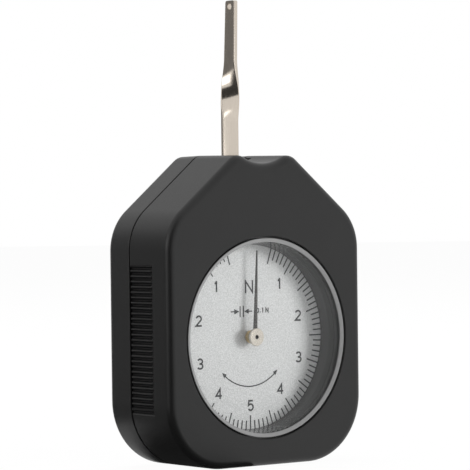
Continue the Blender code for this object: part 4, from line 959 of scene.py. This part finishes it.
def dial_figures(ink):
    """Numerals, unit letter, zero mark with the value of one step, and the two-way arrow."""
    bm = bmesh.new()
    for character, radius, degrees in FIGURE_PLACES:
        x, z = on_print(radius, degrees)
        figure(bm, character, x, z, FIGURE_HEIGHT, FIGURE_STROKE, FIGURE_STRETCH)
    x, z = UNIT_PLACE
    figure(bm, "N", x, PRINT_HEIGHT + z, UNIT_HEIGHT, UNIT_STROKE, UNIT_STRETCH)
    for x in ZERO_MARK_PLACES:
        stroke(bm, [(x, PRINT_HEIGHT + end) for end in ZERO_MARK_ENDS], ZERO_MARK_WIDTH)
    for tail, base, tip in STEP_ARROWS:
        stroke(bm, [(tail, STEP_LEVEL), (base, STEP_LEVEL)], STEP_ARROW_WIDTH)
        low, high = STEP_LEVEL - STEP_ARROW_HALF, STEP_LEVEL + STEP_ARROW_HALF
        arrow_head(bm, [(base, low), (tip, STEP_LEVEL), (base, high)])
    for character, x in STEP_FIGURES:
        level = STEP_LEVEL + 0.0001
        figure(bm, character, x, level, STEP_FIGURE_HEIGHT, STEP_FIGURE_STROKE, STEP_FIGURE_STRETCH)
    x, *ends = STEP_POINT
    stroke(bm, [(x, STEP_LEVEL + end) for end in ends], STEP_POINT_WIDTH)
    bow = [TWO_WAY_TURN + (180 - TWO_WAY_TURN) * i / 20 for i in range(41)]
    stroke(bm, [on_print(TWO_WAY_RADIUS, degrees) for degrees in bow], TWO_WAY_WIDTH)
    for side in (1, -1):
        inner = on_print(TWO_WAY_RADIUS - TWO_WAY_HEAD_HALF, side * TWO_WAY_TURN)
        tip = on_print(TWO_WAY_RADIUS, side * (TWO_WAY_TURN - TWO_WAY_HEAD_TURN))
        outer = on_print(TWO_WAY_RADIUS + TWO_WAY_HEAD_HALF, side * TWO_WAY_TURN)
        arrow_head(bm, [inner, tip, outer])
    placed(from_bmesh("dial_figures", bm, ink), "case")


# Pointer
def pointer_hub(metal, brass, dark):
    """The bright cap on its brass boss. The wall of its centre hole takes the needle's black as painted
    shade, so that the hole reads dark.
    """
    front, back, radius = HUB_LOW.y, HUB_HIGH.y, HUB_HIGH.x
    profile = [
        (HUB_HOLE, back), (HUB_HOLE, front + 0.00008), (HUB_HOLE + 0.00008, front),
        (radius - 0.00018, front), (radius - 0.00008, front + 0.00003),
        (radius - 0.00002, front + 0.00010), (radius, front + 0.0002), (radius, front + HUB_CAP),
        (HUB_BOSS, front + HUB_CAP), (HUB_BOSS, back),
    ]
    made = turned("pointer_cap", profile, CENTRE, metal, segments=96, closed=True)
    refinish(made, brass, lambda place, normal: place.y > front + HUB_CAP + 0.0001)
    # Painted shade: the centre hole's faces get the needle's black so that the hole looks dark.
    refinish(made, dark, lambda place, normal: off_axis(place) < HUB_HOLE + 0.00003)
    placed(made, "pointer", ["pointer_hub"])


def pointer_needle(material):
    """The tapered needle with a low ridge along its middle, leaning as it rests."""
    front, back = NEEDLE_LOW.y, NEEDLE_HIGH.y
    rings = []
    for height in (0.0018, 0.006, 0.012, 0.018, NEEDLE_LENGTH - 0.0001, NEEDLE_LENGTH):
        share = (height - NEEDLE_EYE) / (NEEDLE_LENGTH - NEEDLE_EYE)
        half = (NEEDLE_BASE_WIDTH + (NEEDLE_TIP_WIDTH - NEEDLE_BASE_WIDTH) * share) / 2
        if height == NEEDLE_LENGTH:
            half *= 0.6
        left = [(-half, back), (-half, front + NEEDLE_RIDGE), (-half * 0.3, front)]
        section = left + [(-x, y) for x, y in reversed(left)]
        rings.append([(x, y, WINDOW_HEIGHT + height) for x, y in section])
    made = loft("pointer_blade", rings, material)
    inner, sunk = HUB_BOSS + FIT_GAP, 0.00002
    high, low = front + sunk, back - sunk
    profile = [(inner, high), (NEEDLE_EYE, high), (NEEDLE_EYE, low), (inner, low)]
    join(made, turned("eye", profile, CENTRE, segments=72, closed=True))
    place = Matrix.Translation(CENTRE)
    made.data.transform(place @ Matrix.Rotation(NEEDLE_LEAN, 4, "Y") @ place.inverted())
    placed(made, "pointer", ["pointer_needle"])


# Lever
def twist_tree():
    """A node tree that turns, narrows and leans an upright strip between two heights."""
    numbers = ["Start height", "End height", "Turn", "Width share", "Thickness share", "Depth", "Lean"]
    tree, given = new_tree("lever_twist", "Strip", {"Float": numbers, "Material": ["Finish"]})
    parts = tree.nodes.new("ShaderNodeSeparateXYZ")
    tree.links.new(node(tree, "GeometryNodeInputPosition"), parts.inputs[0])
    x, y, z = parts.outputs
    inputs = {"Value": z, "From Min": given["Start height"], "From Max": given["End height"]}
    share = node(tree, "ShaderNodeMapRange", inputs, interpolation_type="SMOOTHSTEP")

    def narrowed(whole, target):
        shrink = node(tree, "ShaderNodeMix", {0: share, 2: 1, 3: given[target]})
        return calculated(tree, "MULTIPLY", whole, shrink)

    slim = combined(tree, X=narrowed(x, "Width share"), Y=narrowed(y, "Thickness share"), Z=z)
    turn = calculated(tree, "MULTIPLY", share, given["Turn"])
    inputs = {"Vector": slim, "Angle": turn}
    rotated = node(tree, "ShaderNodeVectorRotate", inputs, rotation_type="Z_AXIS")
    above = calculated(tree, "MAXIMUM", calculated(tree, "SUBTRACT", z, given["Start height"]))
    forward = calculated(tree, "MULTIPLY", above, given["Lean"])
    depth = combined(tree, Y=calculated(tree, "SUBTRACT", given["Depth"], forward))
    place = node(tree, "ShaderNodeVectorMath", {0: rotated, 1: depth})
    moved = node(tree, "GeometryNodeSetPosition", {"Geometry": given["Strip"], "Position": place})
    return end_tree(tree, moved, given["Finish"])


def strip_section(width, thickness):
    """A flat strip's section with rounded edges, centred on zero."""
    points = []
    for sx, sy, start in ((1, -1, -QUARTER), (1, 1, 0), (-1, 1, QUARTER), (-1, -1, math.pi)):
        centre = (sx * (width / 2 - LEVER_EDGE), sy * (thickness / 2 - LEVER_EDGE))
        points += held(arc(centre, LEVER_EDGE, start, start + QUARTER, 6), LEVER_HOLD, LEVER_HOLD)
    return points


def measuring_lever(nickel):
    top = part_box("measuring_lever")[1].z
    upper = TIP_BASE_WIDTH / LEVER_WIDTH
    length = TWIST_END - TWIST_START
    heights = [PIVOT_HEIGHT, TWIST_START - 0.001]
    heights += [TWIST_START + length * i / TWIST_STEPS for i in range(TWIST_STEPS + 1)]
    levels = [(height, LEVER_WIDTH) for height in heights + [TWIST_END + 0.001]]
    for i in range(7):
        turn = QUARTER * i / 6
        width = (TIP_WIDTH - 2 * TIP_CORNER * (1 - math.cos(turn))) / upper
        levels.append((top - TIP_CORNER * (1 - math.sin(turn)), width))
    rings = [[(x, y, z) for x, y in strip_section(width, LEVER_THICKNESS)] for z, width in levels]
    made = loft("lever_strip", rings, nickel)
    values = {
        "Start height": TWIST_START,
        "End height": TWIST_END,
        "Turn": -QUARTER,
        "Width share": upper,
        "Thickness share": TIP_THICKNESS / LEVER_THICKNESS,
        "Depth": LEVER_Y,
        "Lean": LEVER_LEAN,
        "Finish": nickel,
    }
    run_tree(made, twist_tree(), values)
    front, back = LEVER_Y - LEVER_THICKNESS / 2, LEVER_Y + LEVER_THICKNESS / 2
    pivot = [(0, PIVOT_HEIGHT)]
    join(made, rods(pivot, HUB_FLANGE_RADIUS, front, back, 64))
    cut(made, rods(pivot, HUB_SLEEVE_RADIUS + FIT_GAP, front - OVERRUN, back + OVERRUN, 64))
    rivets = mirrored([(RIVET_SPREAD, PIVOT_HEIGHT)])
    cut(made, rods(rivets, RIVET_RADIUS + FIT_GAP, front - OVERRUN, back + OVERRUN))
    reach = 0.003
    profile = [(0, -reach), (TIP_HOLE_RADIUS, -reach), (TIP_HOLE_RADIUS, reach), (0, reach)]
    hole = turned("hole", profile, (0, 0, 0), segments=48)
    height = top - TIP_HOLE_DROP
    hole_y = LEVER_Y - (height - TWIST_START) * LEVER_LEAN
    hole.data.transform(Matrix.Translation((0, hole_y, height)) @ Matrix.Rotation(QUARTER, 4, "Z"))
    cut(made, hole)
    placed(made, "lever", ["measuring_lever"])


# Finishes of the solids that stay
def finish_solids():
    """Gives each solid that stays its finish, and gives back the two that dressed pieces share."""
    lengthwise = (1, 0.08, 1)
    turned_brass = turned_metal("turned_brass", (0.66, 0.50, 0.26), (0.80, 0.62, 0.34), 0.34, WINDOW_HEIGHT)
    pivot_brass = turned_metal("pivot_brass", *BRASS, 0.28, PIVOT_HEIGHT)
    turned_steel = turned_metal("turned_steel", *STEEL, 0.26, WINDOW_HEIGHT)
    pivot_steel = turned_metal("pivot_steel", *STEEL, 0.26, PIVOT_HEIGHT)
    plate = ((0.52, 0.36, 0.15), (0.64, 0.46, 0.20))
    plate_brass = brushed_metal("plate_brass", *plate, 0.34, (0.06, 1, 1), 0.00015)
    screw = ((0.42, 0.42, 0.43), (0.55, 0.55, 0.56))
    screw_steel = brushed_metal("screw_steel", *screw, 0.30, lengthwise)
    pillar_brass = brushed_metal("pillar_brass", *BRASS, 0.30, lengthwise)
    spring = ((0.20, 0.23, 0.32), (0.32, 0.34, 0.40))
    blued = brushed_metal("blued_spring", *spring, 0.28, (1, 1, 0.06))
    dark = ((0.035, 0.035, 0.038), (0.06, 0.06, 0.063))
    black = brushed_metal("blackened_screw", *dark, 0.40, (1, 0.1, 1), 0.00012)
    pins = ["lever_rivet_1", "lever_rivet_2", "stop_pin_left", "stop_pin_right"]
    screws = ["fork_screw_1", "fork_screw_2"] + four("pillar_screw") + four("movement_screw")
    bushes = ["pointer_bush_front", "pointer_bush_rear"]
    finishes = {
        plate_brass: ["front_plate", "rear_plate", "sector_gear", "spring_fork", "spring_clamp"],
        turned_brass: ["pinion_gear", "hairspring_collet", "hairspring_stud"] + bushes,
        pivot_brass: ["lever_hub", "lever_bush_front", "lever_bush_rear"],
        turned_steel: ["pointer_arbor"],
        pivot_steel: ["lever_arbor"],
        screw_steel: pins + screws,
        blued: ["hairspring", "measuring_spring"],
        black: ["spring_clamp_screw"],
        pillar_brass: four("pillar"),
    }
    for material, names in finishes.items():
        for name in names:
            slots = nodes[name].data.materials
            for i in range(len(slots)):
                slots[i] = material
            if not len(slots):
                slots.append(material)
    return turned_brass, black


# Studio
def bearing(azimuth, elevation):
    """The direction of those angles in degrees. Azimuth 0 is the front, 90 the right."""
    turn, rise = math.radians(azimuth), math.radians(elevation)
    return Vector((math.sin(turn) * math.cos(rise), -math.cos(turn) * math.cos(rise), math.sin(rise)))


def white_seen(tree):
    """One where the ray comes from the camera, from gloss or from glass."""
    path = tree.nodes.new("ShaderNodeLightPath").outputs
    seen = calculated(tree, "MAXIMUM", path["Is Camera Ray"], path["Is Glossy Ray"])
    return calculated(tree, "MAXIMUM", seen, path["Is Transmission Ray"])


def world_light():
    """Even light from all round. What the camera, gloss and glass see of it is plain white."""
    world = bpy.data.worlds.new("studio")
    bpy.context.scene.world = world
    world.use_nodes = True
    tree = world.node_tree
    light = tree.nodes["Background"]
    light.inputs["Color"].default_value = WHITE
    light.inputs["Strength"].default_value = 0.17
    white = node(tree, "ShaderNodeBackground", {"Color": WHITE, "Strength": 1})
    shown(tree, mixed(tree, light.outputs[0], white, white_seen(tree)), "World Output")


def floor():
    """A wide pale floor that stays white in the picture and keeps a light shadow."""
    bm = bmesh.new()
    bmesh.ops.create_circle(bm, cap_ends=True, segments=96, radius=4)
    made = from_bmesh("floor", bm)
    if made.data.polygons[0].normal.z < 0:
        made.data.flip_normals()
    made.data.transform(Matrix.Translation((0, 0, -0.00002)))
    material, tree, shader = new_material("floor_white", grey(0.92), 0.9)
    shader.inputs["Specular IOR Level"].default_value = 0
    glow = node(tree, "ShaderNodeEmission", {"Color": WHITE, "Strength": 1})
    share = calculated(tree, "MULTIPLY", white_seen(tree), 0.97)
    shown(tree, mixed(tree, shader.outputs[0], glow, share))
    made.data.materials.append(material)


def aim(made, target, away, distance, roll=0):
    """Puts a lamp or the camera that far from the target and turns it towards it."""
    place = Matrix.Translation(target + away * distance)
    turn = away.to_track_quat("Z", "Y").to_matrix().to_4x4()
    made.matrix_world = place @ turn @ Matrix.Rotation(roll, 4, "Z")


def softbox(name, azimuth, elevation, distance, size, power, gloss=True):
    """A square lamp on the given bearing, turned towards the case."""
    lamp = bpy.data.lights.new(name, "AREA")
    lamp.shape = "RECTANGLE"
    lamp.size, lamp.size_y = size
    lamp.energy = power
    made = as_object(name, lamp)
    made.visible_glossy = gloss
    aim(made, LAMP_TARGET, bearing(azimuth, elevation), distance)


def dark_flag(name, start, end, high, distance, level, near=0.002):
    """A curved dark card beside the set and on the floor before it, which only gloss sees."""
    bm = bmesh.new()
    steps = 16
    columns = []
    for i in range(steps + 1):
        turn = math.radians(start + (end - start) * i / steps)
        places = ((near, 0.0002), (distance, 0.0002), (distance, high))
        columns.append([bm.verts.new((math.sin(turn) * r, -math.cos(turn) * r, z)) for r, z in places])
    for first, second in zip(columns, columns[1:]):
        for i in (0, 1):
            bm.faces.new((first[i], second[i], second[i + 1], first[i + 1]))
    made = from_bmesh(name, bm)
    material, tree, shader = new_material(name)
    tree.nodes.remove(shader)
    shown(tree, node(tree, "ShaderNodeEmission", {"Color": (*grey(level), 1)}))
    made.data.materials.append(material)
    for kind in ("camera", "diffuse", "shadow", "transmission"):
        setattr(made, "visible_" + kind, False)


def studio():
    world_light()
    floor()
    softbox("key_right", 41, 5, 1.3, (0.42, 0.50), 17.5, gloss=False)
    softbox("front_fill", -5, 30, 1.3, (1.2, 1.0), 3, gloss=False)
    softbox("top_light", 150, 66, 1.2, (1.1, 1.1), 16, gloss=False)
    softbox("front_strip", 25, 3, 1.3, (0.12, 0.10), 0.10)
    softbox("left_window", -96, 12, 1.3, (0.70, 0.50), 2.2)
    dark_flag("flag_camera_side", -66, -20, 1.0, 0.9, 0.055)
    dark_flag("flag_left_floor", -118, -66, 0.03, 0.9, 0.05)
    dark_flag("flag_back_left", -158, -118, 0.45, 0.9, 0.22, 0.05)


def camera():
    """The photograph's view: from the left front, almost level."""
    data = bpy.data.cameras.new("camera")
    data.sensor_width = SENSOR_WIDTH
    data.lens = FOCAL_SHARE * SENSOR_WIDTH
    data.clip_start = 0.01
    made = as_object("camera", data)
    aim(made, CAMERA_TARGET, bearing(CAMERA_AZIMUTH, CAMERA_ELEVATION), CAMERA_DISTANCE, CAMERA_ROLL)
    bpy.context.scene.camera = made


def gauge():
    plastic, nickel, ink = black_plastic(), lever_nickel(), dial_ink()
    turned_brass, blackened = finish_solids()
    cap = turned_metal("cap_nickel", (0.60, 0.545, 0.475), (0.69, 0.635, 0.565), 0.30, WINDOW_HEIGHT)
    smooth = well_black()
    front_case(plastic, smooth)
    rear_cover(plastic)
    lens_ring(ring_grey(), smooth)
    window_lens(lens_clear(), smooth)
    dial_disc(dial_silver())
    dial_ticks(ink)
    dial_figures(ink)
    blade = needle_black()
    pointer_hub(cap, turned_brass, blade)
    pointer_needle(blade)
    measuring_lever(nickel)
    cover_screws(blackened)


bpy.context.scene.view_settings.view_transform = "Standard"
camera()
studio()
gauge()
